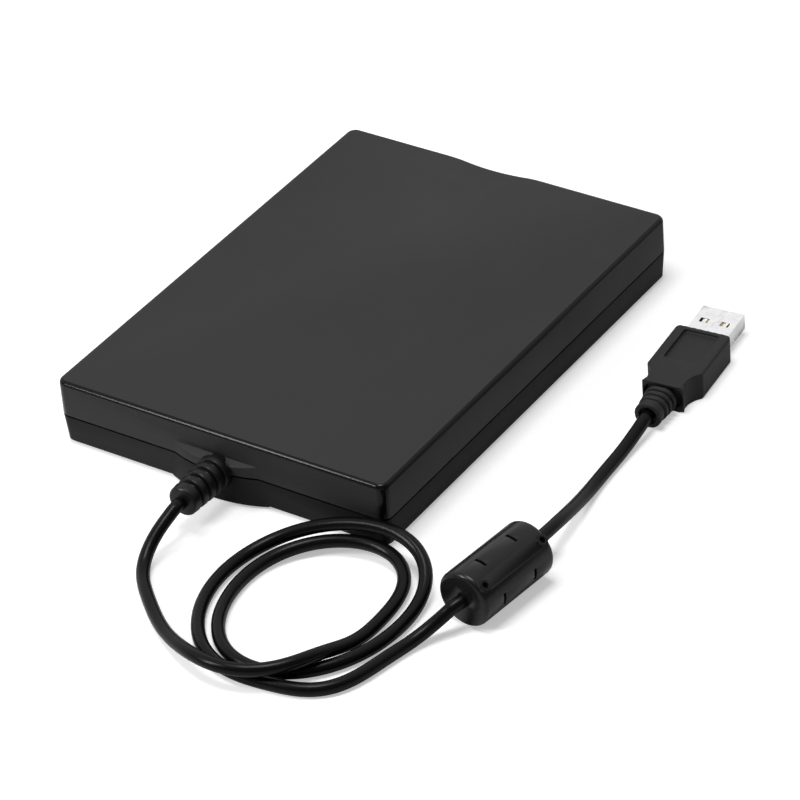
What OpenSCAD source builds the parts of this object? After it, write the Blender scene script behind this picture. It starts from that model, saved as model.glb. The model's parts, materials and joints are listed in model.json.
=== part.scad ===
// External 3.5 inch floppy disk drive with a captive cable.
// Origin: centre of the drive's outline at the height of the feet. +Y is the disk slot, -Y the cable.

/* [Case] */
// Width of the case
case_w = 103; // [102:0.1:124]
// Length of the case, front face to rear wall
case_l = 141.5; // [140:0.1:170]
// Height of the case without its feet
case_h = 19.3; // [19:0.1:24]
// Height of the parting line above the underside
seam_h = 8.9; // [7.5:0.1:9.2]
// Wall of the two shells
wall = 1.8; // [1.4:0.02:2.2]
// Thickness of the case floor
floor_t = 1.6; // [1.2:0.1:2]
// Thickness of the case roof
roof_t = 1.8; // [1.2:0.1:2]
// Radius of the upright corners
corner_r = 3; // [2.5:0.1:4]
// Radius of the rounding round the roof
edge_r = 1.3; // [0.8:0.1:1.8]
// How far the underside stands in from the parting line
draft = 0.7; // [0.2:0.1:1.2]
// How far the feet stand out
foot_h = 0.7; // [0.4:0.1:1.5]
// Diameter of a foot
foot_d = 9; // [6:0.5:10]
// Width of the finger scoop over the slot
scoop_w = 40; // [30:1:60]
// Depth of the finger scoop
scoop_d = 2.2; // [1:0.1:2.4]
// How far the lip left of the scoop stands back from the right one
lip_step = 0.9; // [0.2:0.1:0.9]
// Width of the bulge round the cable
bulge_w = 26; // [20:1:34]
// How far the bulge stands out
bulge_d = 2.3; // [1:0.1:3]

/* [Front] */
// Width of the disk slot
slot_w = 92; // [91.5:0.1:93]
// Height of the disk slot
slot_h = 4.6; // [4.4:0.1:4.9]
// Thickness of the front panel
bezel_t = 2.5; // [2:0.1:3]
// How far the front panel stands back from the case edge
bezel_set = 1; // [0.5:0.1:1.5]
// Width of the eject button
button_w = 12; // [8:0.5:14]
// Height of the eject button
button_h = 4.6; // [4:0.1:5]

/* [Mechanism] */
// Width of a disk cartridge
disk_w = 90; // [89.8:0.1:90.2]
// Clear height inside the disk carrier
bay_h = 4.4; // [4.3:0.1:4.6]
// How far the carrier lowers a disk
lift = 2; // [1.6:0.1:2.2]
// Travel of the eject button
eject_travel = 5; // [4:0.1:5]
// Distance from the first track to the last
track_travel = 14.8; // [14:0.1:15]
// Thickness of the chassis sheet
sheet = 0.8; // [0.6:0.1:0.9]
// Diameter of the spindle rotor
rotor_d = 34; // [28:0.5:34]
// Diameter of the lead screw
screw_d = 2.4; // [2:0.1:2.6]
// Diameter of the guide rod
rod_d = 2; // [1.6:0.1:2.4]
// Diameter of the carrier's guide pins
pin_d = 1.6; // [1.2:0.1:1.8]

/* [Cable] */
// Diameter of the cable
cord_d = 3.6; // [3.2:0.1:4]
// Diameter of the strain relief at the case
boot_d = 10; // [8:0.5:12]
// Diameter of the strain relief at its free end
boot_end_d = 8.4; // [7:0.1:9]
// Length of the interference choke
choke_l = 27; // [22:0.5:32]
// Diameter of the interference choke
choke_d = 15.5; // [13:0.1:18.6]
// Length of the plug's grip
grip_l = 26.9; // [22:0.1:30]
// Width of the plug's grip
grip_w = 16; // [14:0.5:18]
// Thickness of the plug's grip
grip_h = 8; // [7:0.1:9]
// How far the plug's shell stands out
shell_out = 13; // [11.75:0.25:14]

/* [Hidden] */
$fn = 48;
// a cut runs this far past the face that it opens
over = 1;
// clearance of a sliding or turning fit
fit = 0.05;
// clearance between parts that only pass each other
gap = 0.2;

// --- heights above the feet plane ---
z_bot = foot_h;
z_seam = foot_h + seam_h;
z_top = foot_h + case_h;
z_floor = z_bot + floor_t;
z_roof = z_top - roof_t;
y_mid = bulge_d / 2;
y_rear = y_mid - case_l / 2;
y_front = y_mid + case_l / 2;
in_w = case_w - 2 * wall;
in_r = corner_r - wall + 1;
seam_cut = 0.3;
seam_in = 0.45;
foot_x = case_w / 2 - 11.5;
foot_ys = [y_rear + 16, y_front - 16];

// --- front panel ---
bezel_w = in_w - 1;
bezel_y1 = y_front - bezel_set;
bezel_y0 = bezel_y1 - bezel_t;
bezel_z0 = z_floor + gap;
bezel_z1 = z_roof - gap;
bezel_h = bezel_z1 - bezel_z0;
slot_z0 = 10.2;
slot_z1 = slot_z0 + slot_h;
door_t = 0.8;
hinge_d = 1.2;
hinge_y = bezel_y0 - 0.9;
hinge_z = slot_z1 + 0.7;
button_x = -39.5;
button_z = 6.6;
button_l = 8.4;
led_x = 40;
led_z = 6.6;
led_d = 2;
led_y = bezel_y0 - 8.4;

// --- drive: it sits behind the front panel, whatever the length of the case ---
drive_l = 125.6;
drive_y1 = bezel_y0 - 0.6;
drive_y0 = drive_y1 - drive_l;
drive_z0 = z_floor + 1.3;
base_z = drive_z0 + sheet;
carrier_t = 0.5;
bay_z0 = slot_z0 + 0.1;
bay_z1 = bay_z0 + bay_h;
bay_in = disk_w + 1.2;
bay_out = bay_in + 2 * carrier_t;
slide_t = 0.55;
slide_in = bay_out + 0.7;
slide_out = slide_in + 2 * slide_t;
slide_z = bay_z1 + carrier_t + 0.25;
lid_z = slide_z + slide_t + 0.4;
drive_w = slide_out + 2 * gap + 2 * sheet;
bay_y1 = drive_y1 - 6.3;
bay_y0 = bay_y1 - 88.5;
pin_z = bay_z0 + 2.7;
pin_ys = [bay_y0 + 7, bay_y1 - 11.5];
hub_y = drive_y1 - 52.5;
tab_y = bay_y1 - 2.5;
// front bearing of the lead screw and the guide rod
bearing_y0 = hub_y - 19.9;
bearing_y1 = bearing_y0 + 2;
track_y = hub_y - 39.5;
arm_y = track_y - 22.8;
arm_z = base_z + 7.8;
arm_tilt = 11.5;
rail_z = base_z + 1.8;
rod_x = -10;
screw_x = 13;
screw_z = base_z + 2.2;
motor_d = 8.2;
boss_d = 6;
drive_bolt_x = drive_w / 2 - 6;
drive_bolts = [drive_y0 + 7.8, drive_y1 - 19.8];
case_bolt_x = case_w / 2 - 11.5;
case_bolt_y = y_rear + 6.2;

// --- cable ---
cord_r = cord_d / 2;
boot_out = 15.1;
boot_y0 = y_rear - bulge_d - boot_out;
boot_x = 0.5;
choke_dir = 82.9;
plug_dir = 95.5;
// how deep the cable goes into the eye at the end of the plug's strain relief
plug_eye = 1.2;

// ================= shared shapes =================

// a plate with round upright corners, centred in plan
module plate(w, l, h, r) {
    linear_extrude(h) {
        square([w - 2 * r, l], center = true);
        square([w, l - 2 * r], center = true);
        for (x = [-1, 1], y = [-1, 1])
            translate([x * (w / 2 - r), y * (l / 2 - r)]) circle(r);
    }
}

// a box given by its lowest and highest corners
module span(a, b) {
    translate(a) cube([b[0] - a[0], b[1] - a[1], b[2] - a[2]]);
}

// a cylinder along X or Y, starting at p
module bar_x(p, d, l) { translate(p) rotate([0, 90, 0]) cylinder(d = d, h = l); }
module bar_y(p, d, l) { translate(p) rotate([-90, 0, 0]) cylinder(d = d, h = l); }

// a slot with round ends from a to b in the Y-Z plane, cut along X
module track(a, b, d, x, l) {
    run = b - a;
    translate([x, 0, 0]) rotate([90, 0, 90]) linear_extrude(l) {
        for (p = [a, b]) translate(p) circle(d = d);
        translate(a) rotate(atan2(run[1], run[0])) translate([0, -d / 2]) square([norm(run), d]);
    }
}

// the four corners of a rectangle, and a copy at each
module corners(x, ys) {
    for (sx = [-1, 1], y = ys) translate([sx * x, y, 0]) children();
}

// ================= case =================

// section of the cover, square below and rounded along its top edges
module cover_section(w) {
    h = z_top - z_seam;
    translate([-w / 2, 0]) square([w, h - edge_r]);
    translate([-w / 2 + edge_r, 0]) square([w - 2 * edge_r, h]);
    for (side = [-1, 1]) translate([side * (w / 2 - edge_r), h - edge_r]) circle(edge_r, $fn = 32);
}

// the cover's outer form: two runs that cross, and a turned corner at each upright
module cover_body() {
    lx = case_w / 2 - corner_r;
    ly = case_l / 2 - corner_r;
    translate([0, y_mid, z_seam]) {
        translate([0, ly, 0]) rotate([90, 0, 0]) linear_extrude(2 * ly) cover_section(case_w);
        translate([-lx, 0, 0]) rotate([90, 0, 90]) linear_extrude(2 * lx) cover_section(case_l);
        corners(lx, [-ly, ly]) rotate_extrude($fn = 32) intersection() {
            cover_section(2 * corner_r);
            square([corner_r, case_h]);
        }
    }
}

module at_case_corners() {
    for (x = [-1, 1], y = [-1, 1])
        translate([x * (case_w / 2 - corner_r), y_mid + y * (case_l / 2 - corner_r), 0]) children();
}

// low swelling of the rear wall round the cable, between two heights
module bulge(z0, z1, inset = 0) {
    r = (pow(bulge_w / 2, 2) + pow(bulge_d, 2)) / (2 * bulge_d);
    intersection() {
        translate([boot_x - 1.5, y_rear - bulge_d + r, z0]) cylinder(r = r - inset, h = z1 - z0, $fn = 160);
        span([-bulge_w, y_rear - bulge_d - over, z0], [bulge_w, y_rear + wall / 2, z1]);
    }
}

// deepest point of the finger scoop, and the radius of its hollow arc
scoop_x = -3;
scoop_r = 58;

// one side of the scoop from its deepest point: the hollow arc, then one that eases out into the lip
function scoop_side(side, rise) = let (
    run = scoop_w / 2 - side * scoop_x,
    ease_r = (run * run + rise * rise) / (2 * rise) - scoop_r,
    turn = asin(run / (scoop_r + ease_r)))
    [for (i = [0:16]) let (a = turn * (i < 8 ? i / 8 : 2 - i / 8)) i < 8
        ? [scoop_x + side * scoop_r * sin(a), y_front - scoop_d + scoop_r * (1 - cos(a))]
        : [scoop_x + side * (run - ease_r * sin(a)), y_front - scoop_d + rise - ease_r * (1 - cos(a))]];

// finger scoop between the two parts of the front lip, right through the lip's height
module scoop(back = 0) {
    left = scoop_side(-1, scoop_d - lip_step);
    right = scoop_side(1, scoop_d);
    y1 = y_front + over + back;
    translate([0, -back, z_bot - over]) linear_extrude(case_h + 2 * over) polygon(concat(
        [[right[16][0], y1], [-case_w, y1], [-case_w, y_front - lip_step]],
        [for (i = [16:-1:1]) left[i]], right));
}

// what the two shells leave open at the front
module front_opening() {
    span([-bezel_w / 2 - gap, bezel_y0 - 0.4, bezel_z0 - gap],
        [bezel_w / 2 + gap, y_front + over, bezel_z1 + gap]);
}

module boot_hole(d) { bar_y([boot_x, y_rear - bulge_d - over, z_seam], d, wall + bulge_d + 2 * over); }

module top_cover() color([0.2, 0.2, 0.2]) {
    h = z_top - z_seam;
    difference() {
        union() {
            cover_body();
            difference() {
                bulge(z_seam, z_seam + 3.6);
                // the top of the bulge slopes down to its outer face
                translate([0, y_rear, z_seam + 3.6]) rotate([30, 0, 0])
                    translate([-bulge_w, -bulge_d * 4, 0]) cube([2 * bulge_w, bulge_d * 4, 5]);
            }
        }
        translate([0, y_mid, z_seam - over]) plate(in_w, case_l - 2 * wall, h - roof_t + over, in_r);
        // rebate that takes the lower shell's tongue
        translate([0, y_mid, z_seam - over])
            plate(in_w + wall + 0.2, case_l - wall + 0.2, over + 0.8, in_r + wall / 2);
        front_opening();
        scoop();
        boot_hole(boot_d - 2);
    }
    // posts for the case screws
    corners(case_bolt_x, [case_bolt_y]) difference() {
        translate([0, 0, z_seam]) cylinder(d = boss_d, h = z_roof - z_seam + 0.2);
        translate([0, 0, z_seam - over]) cylinder(d = 2.7, h = 6 + over);
    }
    // ribs that hold the drive down
    for (x = [-34, 34]) span([x - 0.6, drive_y0 + 17.8, lid_z + carrier_t + gap],
        [x + 0.6, drive_y1 - 17.8, z_roof + 0.2]);
}

module bottom_case() color([0.17, 0.17, 0.17]) {
    difference() {
        union() {
            translate([0, 0, z_bot]) hull() at_case_corners() {
                cylinder(r = corner_r - draft - 0.5, h = 0.5, $fn = 32);
                translate([0, 0, 0.5]) cylinder(r1 = corner_r - draft, r2 = corner_r, h = seam_h - 0.5, $fn = 32);
            }
            bulge(z_bot, z_seam);
        }
        translate([0, y_mid, z_floor]) plate(in_w, case_l - 2 * wall, case_h, in_r);
        // shadow line at the parting line
        difference() {
            translate([0, y_mid, z_seam - seam_cut]) plate(case_w + 9, case_l + 9, 2 * over, 1);
            translate([0, y_mid, z_seam - over])
                plate(case_w - 2 * seam_in, case_l - 2 * seam_in, 4 * over, corner_r - seam_in);
            bulge(z_seam - over, z_seam + 3 * over, seam_in);
        }
        front_opening();
        scoop();
        boot_hole(boot_d - 2);
        corners(foot_x, foot_ys) translate([0, 0, z_bot - over]) cylinder(d = foot_d, h = over + 0.5);
        corners(case_bolt_x, [case_bolt_y]) {
            translate([0, 0, z_bot - over]) cylinder(d = 5.2, h = over + 1.1);
            translate([0, 0, z_bot]) cylinder(d = 3, h = case_h);
        }
        // vents under the drive
        for (i = [-3:3]) translate([i * 6, y_mid - 21.15, z_bot - over]) plate(2, 18, floor_t + 2 * over, 0.9);
    }
    // tongue round the rim
    difference() {
        translate([0, y_mid, z_seam - 0.2]) plate(in_w + wall, case_l - wall, 0.9, in_r + wall / 2);
        translate([0, y_mid, z_seam - over]) plate(in_w, case_l - 2 * wall, 3, in_r);
        span([-bezel_w / 2 - gap - 1, bezel_y0 - 2, z_floor], [bezel_w / 2 + gap + 1, y_front + over, z_top]);
        boot_hole(boot_d - 1.8);
    }
    // sleeves round the case screws
    corners(case_bolt_x, [case_bolt_y]) difference() {
        translate([0, 0, z_floor - 0.2]) cylinder(d = boss_d, h = z_seam - z_floor + 0.2);
        translate([0, 0, z_bot]) cylinder(d = 3, h = case_h);
    }
    // bosses under the drive and under the cable's circuit board
    corners(drive_bolt_x, drive_bolts) difference() {
        translate([0, 0, z_floor - 0.2]) cylinder(d = boss_d, h = drive_z0 - z_floor + 0.2);
        translate([0, 0, z_bot + 0.6]) cylinder(d = 2.1, h = 5);
    }
    // ribs across the floor under the drive
    for (y = [hub_y - 13, hub_y + 22]) span([-drive_w / 2 + 8, y - 0.6, z_floor - 0.2],
        [drive_w / 2 - 8, y + 0.6, drive_z0 - gap]);
    corners(24, [usb_y]) translate([0, 0, z_floor - 0.2]) cylinder(d = 4, h = usb_z - z_floor + 0.2);
}

module rubber_feet() color([0.06, 0.06, 0.06])
    corners(foot_x, foot_ys) difference() {
        cylinder(d = foot_d - 0.2, h = foot_h + 0.5);
        translate([0, 0, -over]) cylinder(d = 3, h = over + 0.3);
    }

module screw(head_d, head_h, d, l) {
    difference() {
        union() {
            cylinder(d = head_d, h = head_h);
            translate([0, 0, head_h]) cylinder(d = d, h = l);
        }
        for (a = [0, 90]) rotate(a) translate([0, 0, 0.2]) cube([head_d * 0.6, 0.5, 1], center = true);
    }
}

module case_screws() color([0.3, 0.3, 0.32])
    corners(case_bolt_x, [case_bolt_y]) translate([0, 0, z_bot + 0.1]) screw(4.8, 1, 2.6, seam_h + 3);

// ================= front =================

module front_bezel() color([0.1, 0.1, 0.1]) {
    difference() {
        translate([0, (bezel_y0 + bezel_y1) / 2, (bezel_z0 + bezel_z1) / 2]) rotate([90, 0, 0])
            translate([0, 0, -bezel_t / 2]) plate(bezel_w, bezel_h, bezel_t, 0.8);
        // slot, with a wider mouth
        span([-slot_w / 2, bezel_y0 - over, slot_z0], [slot_w / 2, bezel_y1 + over, slot_z1]);
        translate([0, bezel_y1, (slot_z0 + slot_z1) / 2]) for (s = [-1, 1])
            translate([0, 0, s * slot_h / 2]) rotate([45, 0, 0]) cube([slot_w, 0.9, 0.9], center = true);
        // thumb notch in the middle of the slot
        translate([0, bezel_y1 + 9, (slot_z0 + slot_z1) / 2]) rotate([0, 90, 0])
            translate([0, 0, -13]) cylinder(r = 10, h = 26);
        // eject button
        span([button_x - button_w / 2 - gap, bezel_y0 - over, button_z - button_h / 2 - gap],
            [button_x + button_w / 2 + gap, bezel_y1 + over, button_z + button_h / 2 + gap]);
        bar_y([led_x, bezel_y0 - over, led_z], led_d, bezel_t + 2 * over);
        // room for the front scoop
        scoop(0.4);
    }
    // side lugs that grip the chassis
    for (s = [-1, 1]) span([s * (drive_w / 2 + 0.35) - 0.35, drive_y1 - 7, 5],
        [s * (drive_w / 2 + 0.35) + 0.35, bezel_y0 + 0.2, 12]);
    // ears that carry the door's hinge
    for (s = [-1, 1]) difference() {
        span([s * (slot_w / 2 + 0.9) - 0.7, hinge_y - 1.1, hinge_z - 1.2],
            [s * (slot_w / 2 + 0.9) + 0.7, bezel_y0 + 0.2, hinge_z + 1.2]);
        bar_x([s * (slot_w / 2 + 0.9) - 2, hinge_y, hinge_z], hinge_d + 2 * fit, 4);
    }
}

// flap that keeps dust out of the slot, hung from its top edge
module slot_door() color([0.12, 0.12, 0.12]) {
    span([-slot_w / 2 + gap, hinge_y - door_t / 2, slot_z0 + 0.2], [slot_w / 2 - gap, hinge_y + door_t / 2, hinge_z]);
    bar_x([-slot_w / 2 - 1.4, hinge_y, hinge_z], hinge_d, slot_w + 2.8);
}

module eject_button() color([0.14, 0.14, 0.14]) {
    translate([button_x, y_front - 0.1, button_z]) rotate([90, 0, 0]) plate(button_w, button_h, button_l, 0.6);
    // stem, notched to take the slider's tab
    span([button_x - 3, tab_y + 0.5, button_z - 1.5], [button_x + 3, y_front - button_l, button_z + 1.5]);
}

module light_pipe() color([0.75, 0.95, 0.8]) {
    bar_y([led_x, bezel_y0 - 0.5, led_z], led_d - 0.1, bezel_t + 0.6);
    bar_y([led_x, bezel_y0 - 1.3, led_z], led_d + 1, 0.8);
}

module led_board() color([0.1, 0.3, 0.15]) {
    translate([led_x - 3, led_y, base_z + 0.5]) plate(12, 12, 0.8, 0.5);
    translate([led_x - 3, led_y, base_z]) cylinder(d = 3, h = 0.5);
}

module status_led() color([0.3, 0.9, 0.4])
    span([led_x - 1, led_y + 2.5, base_z + 1.3], [led_x + 1, led_y + 5.6, base_z + 3.1]);

// three small switches that feel the disk and its notches
module media_switches() color([0.08, 0.08, 0.08])
    for (x = [-6, -2.5, 1]) translate([led_x - 3 + x, led_y - 3.5, base_z + 1.3]) {
        span([-1.2, -1.5, 0], [1.2, 1.5, 1.2]);
        cylinder(d = 0.9, h = 2.1);
    }

// ================= chassis =================

// fixing pattern between the chassis and the lower shell
module drive_holes(d) {
    corners(drive_bolt_x, drive_bolts) translate([0, 0, drive_z0 - over]) cylinder(d = d, h = sheet + 2 * over);
}

module chassis() color([0.62, 0.63, 0.65]) {
    difference() {
        union() {
            span([-drive_w / 2, drive_y0, drive_z0], [drive_w / 2, drive_y1, base_z]);
            for (s = [-1, 1]) span([s * (drive_w - sheet) / 2 - sheet / 2, drive_y0, drive_z0],
                [s * (drive_w - sheet) / 2 + sheet / 2, drive_y1 - 5, lid_z - 0.1]);
        }
        // window under the head carriage and the stepper
        span([-8, drive_y0 + 6, drive_z0 - over], [8, bearing_y0 - 3.4, base_z + over]);
        span([screw_x - motor_d / 2 - 0.5, drive_y0 - over, drive_z0 - over],
            [screw_x + motor_d / 2 + 0.5, stepper_y1, base_z + over]);
        // room for the eject button
        span([button_x - button_w / 2 - 0.5, y_front - button_l - 0.6, drive_z0 - over],
            [button_x + button_w / 2 + 0.5, drive_y1 + over, base_z + over]);
        drive_holes(2.3);
        // relief holes
        corners(27, [hub_y + 30]) translate([0, 0, drive_z0 - over]) plate(16, 9, sheet + 2 * over, 3);
        translate([0, hub_y, drive_z0 - over]) cylinder(d = 5, h = sheet + 2 * over);
        // upright guides for the carrier's pins
        for (y = pin_ys)
            track([y, pin_z], [y, pin_z - lift], pin_d + gap, -drive_w / 2 - over, drive_w + 2 * over);
    }
    // supports of the guide rod and the lead screw
    difference() {
        union() {
            span([rod_x - 2, bearing_y0, base_z - 0.1], [rod_x + 2, bearing_y1, rail_z + 1.8]);
            span([rod_x - 2, arm_y - 7.8, base_z - 0.1], [rod_x + 2, arm_y - 5.8, rail_z + 1.8]);
            span([screw_x - 2, bearing_y0, base_z - 0.1], [screw_x + 2, bearing_y1, screw_z + 1.6]);
        }
        bar_y([rod_x, drive_y0, rail_z], rod_d + 0.02, hub_y - drive_y0);
        bar_y([screw_x, bearing_y0 - 5.4, screw_z], 1.2 + 2 * fit, 20);
    }
    // stand-offs under the logic board
    for (p = [[-42, drive_y0 + 4], [-18, drive_y0 + 25]])
        translate([p[0], p[1], base_z - 0.1]) cylinder(d = 3, h = 1.1);
}

module drive_cover() color([0.7, 0.71, 0.73]) difference() {
    union() {
        span([-drive_w / 2 - 0.6, drive_y0, lid_z], [drive_w / 2 + 0.6, drive_y1 - 2, lid_z + carrier_t]);
        for (s = [-1, 1]) span([s * (drive_w / 2 + 0.35) - 0.25, drive_y0 + 6, lid_z - 5],
            [s * (drive_w / 2 + 0.35) + 0.25, drive_y1 - 8, lid_z + 0.1]);
    }
    // window over the rising head arm
    span([-9, drive_y0 + 4, lid_z - over], [9, bearing_y1 + 1.6, lid_z + 2 * over]);
    // relief holes
    corners(24, [hub_y - 48, hub_y + 28]) translate([0, 0, lid_z - over]) plate(9, 26, 3 * over, 3);
}

module drive_screws() color([0.75, 0.75, 0.77])
    corners(drive_bolt_x, drive_bolts) translate([0, 0, base_z + 0.8]) rotate([180, 0, 0]) screw(3.8, 0.8, 1.9, 2);

module logic_board() color([0.1, 0.35, 0.18])
    translate([-30, drive_y0 + 14.5, base_z + 1]) plate(32, 27, 1, 1);

module logic_chips() color([0.07, 0.07, 0.08]) {
    translate([-33, drive_y0 + 16, base_z + 2]) plate(12, 12, 1.2, 0.4);
    translate([-20, drive_y0 + 19, base_z + 2]) plate(7, 9, 1.1, 0.4);
    translate([-20, drive_y0 + 8, base_z + 2]) plate(6, 5, 1, 0.3);
    span([flex_x - 8, drive_y0 + 1.5, base_z + 2], [flex_x + 8, drive_y0 + 4, base_z + 3.6]);
}

// ================= cable's circuit board =================

usb_y = y_rear + wall + 5;
usb_z = z_floor + 2;
flex_x = -25;
flex_w = 12;
flex_t = 0.3;

module usb_board() color([0.1, 0.35, 0.18])
    translate([0, usb_y, usb_z]) plate(68, 7.6, 1, 0.6);

module usb_chips() color([0.08, 0.08, 0.09]) {
    translate([12, usb_y, usb_z + 1]) plate(7, 6.4, 1.1, 0.3);
    translate([22, usb_y, usb_z + 1]) plate(8, 3.4, 2.6, 1.2);
    span([boot_x - 4, usb_y - 2.2, usb_z + 1], [boot_x + 4, usb_y + 2.4, usb_z + 3]);
    span([flex_x - 7, usb_y - 1.6, usb_z + 1], [flex_x + 7, usb_y + 1.6, usb_z + 2.4]);
}

// flat cable that bridges the two circuit boards in one fold
module flex_cable() color([0.85, 0.86, 0.88]) {
    x0 = flex_x - flex_w / 2;
    x1 = flex_x + flex_w / 2;
    y0 = usb_y + 1.6;
    y1 = drive_y0 + 0.9;
    z0 = usb_z + 1.6;
    z1 = base_z + 2.6;
    top = base_z + 6;
    span([x0, y0, z0], [x1, y0 + 1.8, z0 + flex_t]);
    span([x0, y0 + 1.5, z0], [x1, y0 + 1.5 + flex_t, top]);
    span([x0, y0 + 1.5, top], [x1, y1 + flex_t, top + flex_t]);
    span([x0, y1, z1], [x1, y1 + flex_t, top + flex_t]);
    span([x0, y1, z1], [x1, drive_y0 + 1.5, z1 + flex_t]);
}

// ================= spindle =================

module motor_board() color([0.25, 0.25, 0.2]) difference() {
    translate([0, hub_y, base_z]) plate(44, 34, 0.4, 3);
    translate([0, hub_y, base_z - over]) cylinder(d = 7.2, h = 3);
}

module spindle_bearing() color([0.72, 0.6, 0.3]) translate([0, hub_y, 0]) difference() {
    union() {
        translate([0, 0, drive_z0 + 0.05]) cylinder(d = 4.8, h = sheet);
        translate([0, 0, base_z]) cylinder(d = 7, h = 2.2);
    }
    translate([0, 0, drive_z0 - over]) cylinder(d = 2.5 + 2 * fit, h = 6);
}

// laminated core with its wound teeth
module spindle_stator() color([0.6, 0.35, 0.15]) translate([0, hub_y, base_z + 0.4]) {
    difference() {
        union() {
            cylinder(d = 12, h = 1.4);
            for (a = [0:40:359]) rotate(a) {
                span([5, -0.9, 0.3], [13.4, 0.9, 1.2]);
                span([7.4, -1.6, 0], [11.6, 1.6, 1.5]);
                intersection() {
                    difference() {
                        cylinder(r = 14.2, h = 1.3);
                        translate([0, 0, -over]) cylinder(r = 13.2, h = 4);
                    }
                    rotate(-14) cube([20, 7.2, 1.3]);
                }
            }
        }
        translate([0, 0, -over]) cylinder(d = 7.1, h = 5);
    }
}

module rotor_cup() color([0.75, 0.75, 0.76]) translate([0, hub_y, base_z + 0.7]) difference() {
    cylinder(d = rotor_d, h = 2.6);
    translate([0, 0, -over]) cylinder(d = rotor_d - 1.2, h = over + 2);
    translate([0, 0, -over]) cylinder(d = 6, h = 6);
}

module rotor_magnet() color([0.2, 0.2, 0.2]) translate([0, hub_y, base_z + 0.7]) difference() {
    cylinder(d = rotor_d - 1.2, h = 2);
    translate([0, 0, -over]) cylinder(d = 29, h = 4);
}

// shaft, hub plate and the pin that drives the disk
module spindle_hub() color([0.8, 0.8, 0.82]) translate([0, hub_y, 0]) {
    translate([0, 0, drive_z0 + 0.2]) cylinder(d = 2.5, h = bay_z0 - drive_z0 - 0.6);
    translate([0, 0, base_z + 2.7]) cylinder(d = 6, h = 0.7);
    translate([0, 0, base_z + 3.3]) cylinder(d = 23, h = 0.7);
    translate([7.5, 0, base_z + 3.9]) cylinder(d = 2, h = 1.2);
}

// ================= head positioner =================

stepper_y1 = arm_y + 3;

module stepper_motor() color([0.6, 0.6, 0.62]) {
    y0 = drive_y0 + 1;
    difference() {
        union() {
            bar_y([screw_x, y0, screw_z], motor_d, stepper_y1 - 1 - y0);
            span([screw_x - 5, stepper_y1 - 1, base_z - 0.8], [screw_x + 8, stepper_y1 - 0.2, base_z + 7]);
        }
        bar_y([screw_x, y0 + 2, screw_z], 1.2 + 2 * fit, 20);
        span([-drive_w, stepper_y1 - 1 - over, 0], [screw_x + 20, stepper_y1 + over, base_z]);
    }
}

module lead_screw() color([0.7, 0.7, 0.72]) {
    bar_y([screw_x, stepper_y1 + 0.3, screw_z], screw_d, bearing_y0 - stepper_y1 - 0.6);
    bar_y([screw_x, stepper_y1 - 5, screw_z], 1.2, bearing_y1 - stepper_y1 + 4.6);
}

module guide_rod() color([0.8, 0.8, 0.82])
    bar_y([rod_x, arm_y - 7.6, rail_z], rod_d, bearing_y1 - arm_y + 7.4);

module head_carriage() color([0.3, 0.3, 0.33]) {
    difference() {
        union() {
            // bridge between the rod and the screw
            span([rod_x - 2.2, track_y - 5, base_z + 0.3], [screw_x - 1.6, track_y + 3, base_z + 3]);
            // neck under the lower head
            span([-3.5, track_y - 3, base_z + 2.8], [3.5, track_y + 3, bay_z0 - 1.5]);
            // spine back to the arm's pivot
            span([-4.5, arm_y - 3, base_z + 0.3], [4.5, track_y - 4.8, base_z + 2.6]);
            for (s = [-1, 1]) span([s * 6.2 - 1.2, arm_y - 3, base_z + 0.3], [s * 6.2 + 1.2, arm_y + 3, arm_z + 1.6]);
            span([-7.4, arm_y - 3, base_z + 0.3], [7.4, arm_y + 3, base_z + 2.6]);
        }
        bar_y([rod_x, track_y - 10, rail_z], rod_d + 2 * fit, 20);
        bar_x([-10, arm_y, arm_z], 1.2 + 0.02, 20);
    }
    // nut that rides in the screw's groove
    difference() {
        span([screw_x - 2.6, track_y - 3, base_z + 0.3], [screw_x + 2.4, track_y + 1, screw_z + 2]);
        bar_y([screw_x, track_y - 10, screw_z], screw_d + 2 * fit, 20);
    }
}

module lower_head() color([0.25, 0.2, 0.18]) {
    span([-2.6, track_y - 2.4, bay_z0 - 1.5], [2.6, track_y + 2.4, bay_z0 - 0.9]);
    span([-1.4, track_y - 1.4, bay_z0 - 0.9], [1.4, track_y + 1.4, bay_z0 - 0.3]);
}

module at_arm() { translate([0, arm_y, arm_z]) rotate([arm_tilt, 0, 0]) children(); }

module head_arm() color([0.72, 0.72, 0.74]) at_arm() {
    difference() {
        union() {
            span([-4.6, -1.2, -0.3], [4.6, 16, 0.3]);
            span([-3, 15.8, -0.3], [3, 24.8, 0.3]);
            bar_x([-4.8, 0, 0], 2.6, 9.6);
        }
        bar_x([-10, 0, 0], 1.2 + 2 * fit, 20);
        translate([0, 9, -over]) cylinder(d = 4, h = 3);
    }
}

module arm_pin() color([0.8, 0.8, 0.82]) bar_x([-7.2, arm_y, arm_z], 1.2, 14.4);

module upper_head() color([0.25, 0.2, 0.18]) at_arm() {
    span([-2.6, 20.4, -1], [2.6, 25.2 - 0.4, -0.3]);
    span([-1.4, 21.4, -2.1], [1.4, 24.2, -1]);
}

// ================= disk carrier and eject slider =================

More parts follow.
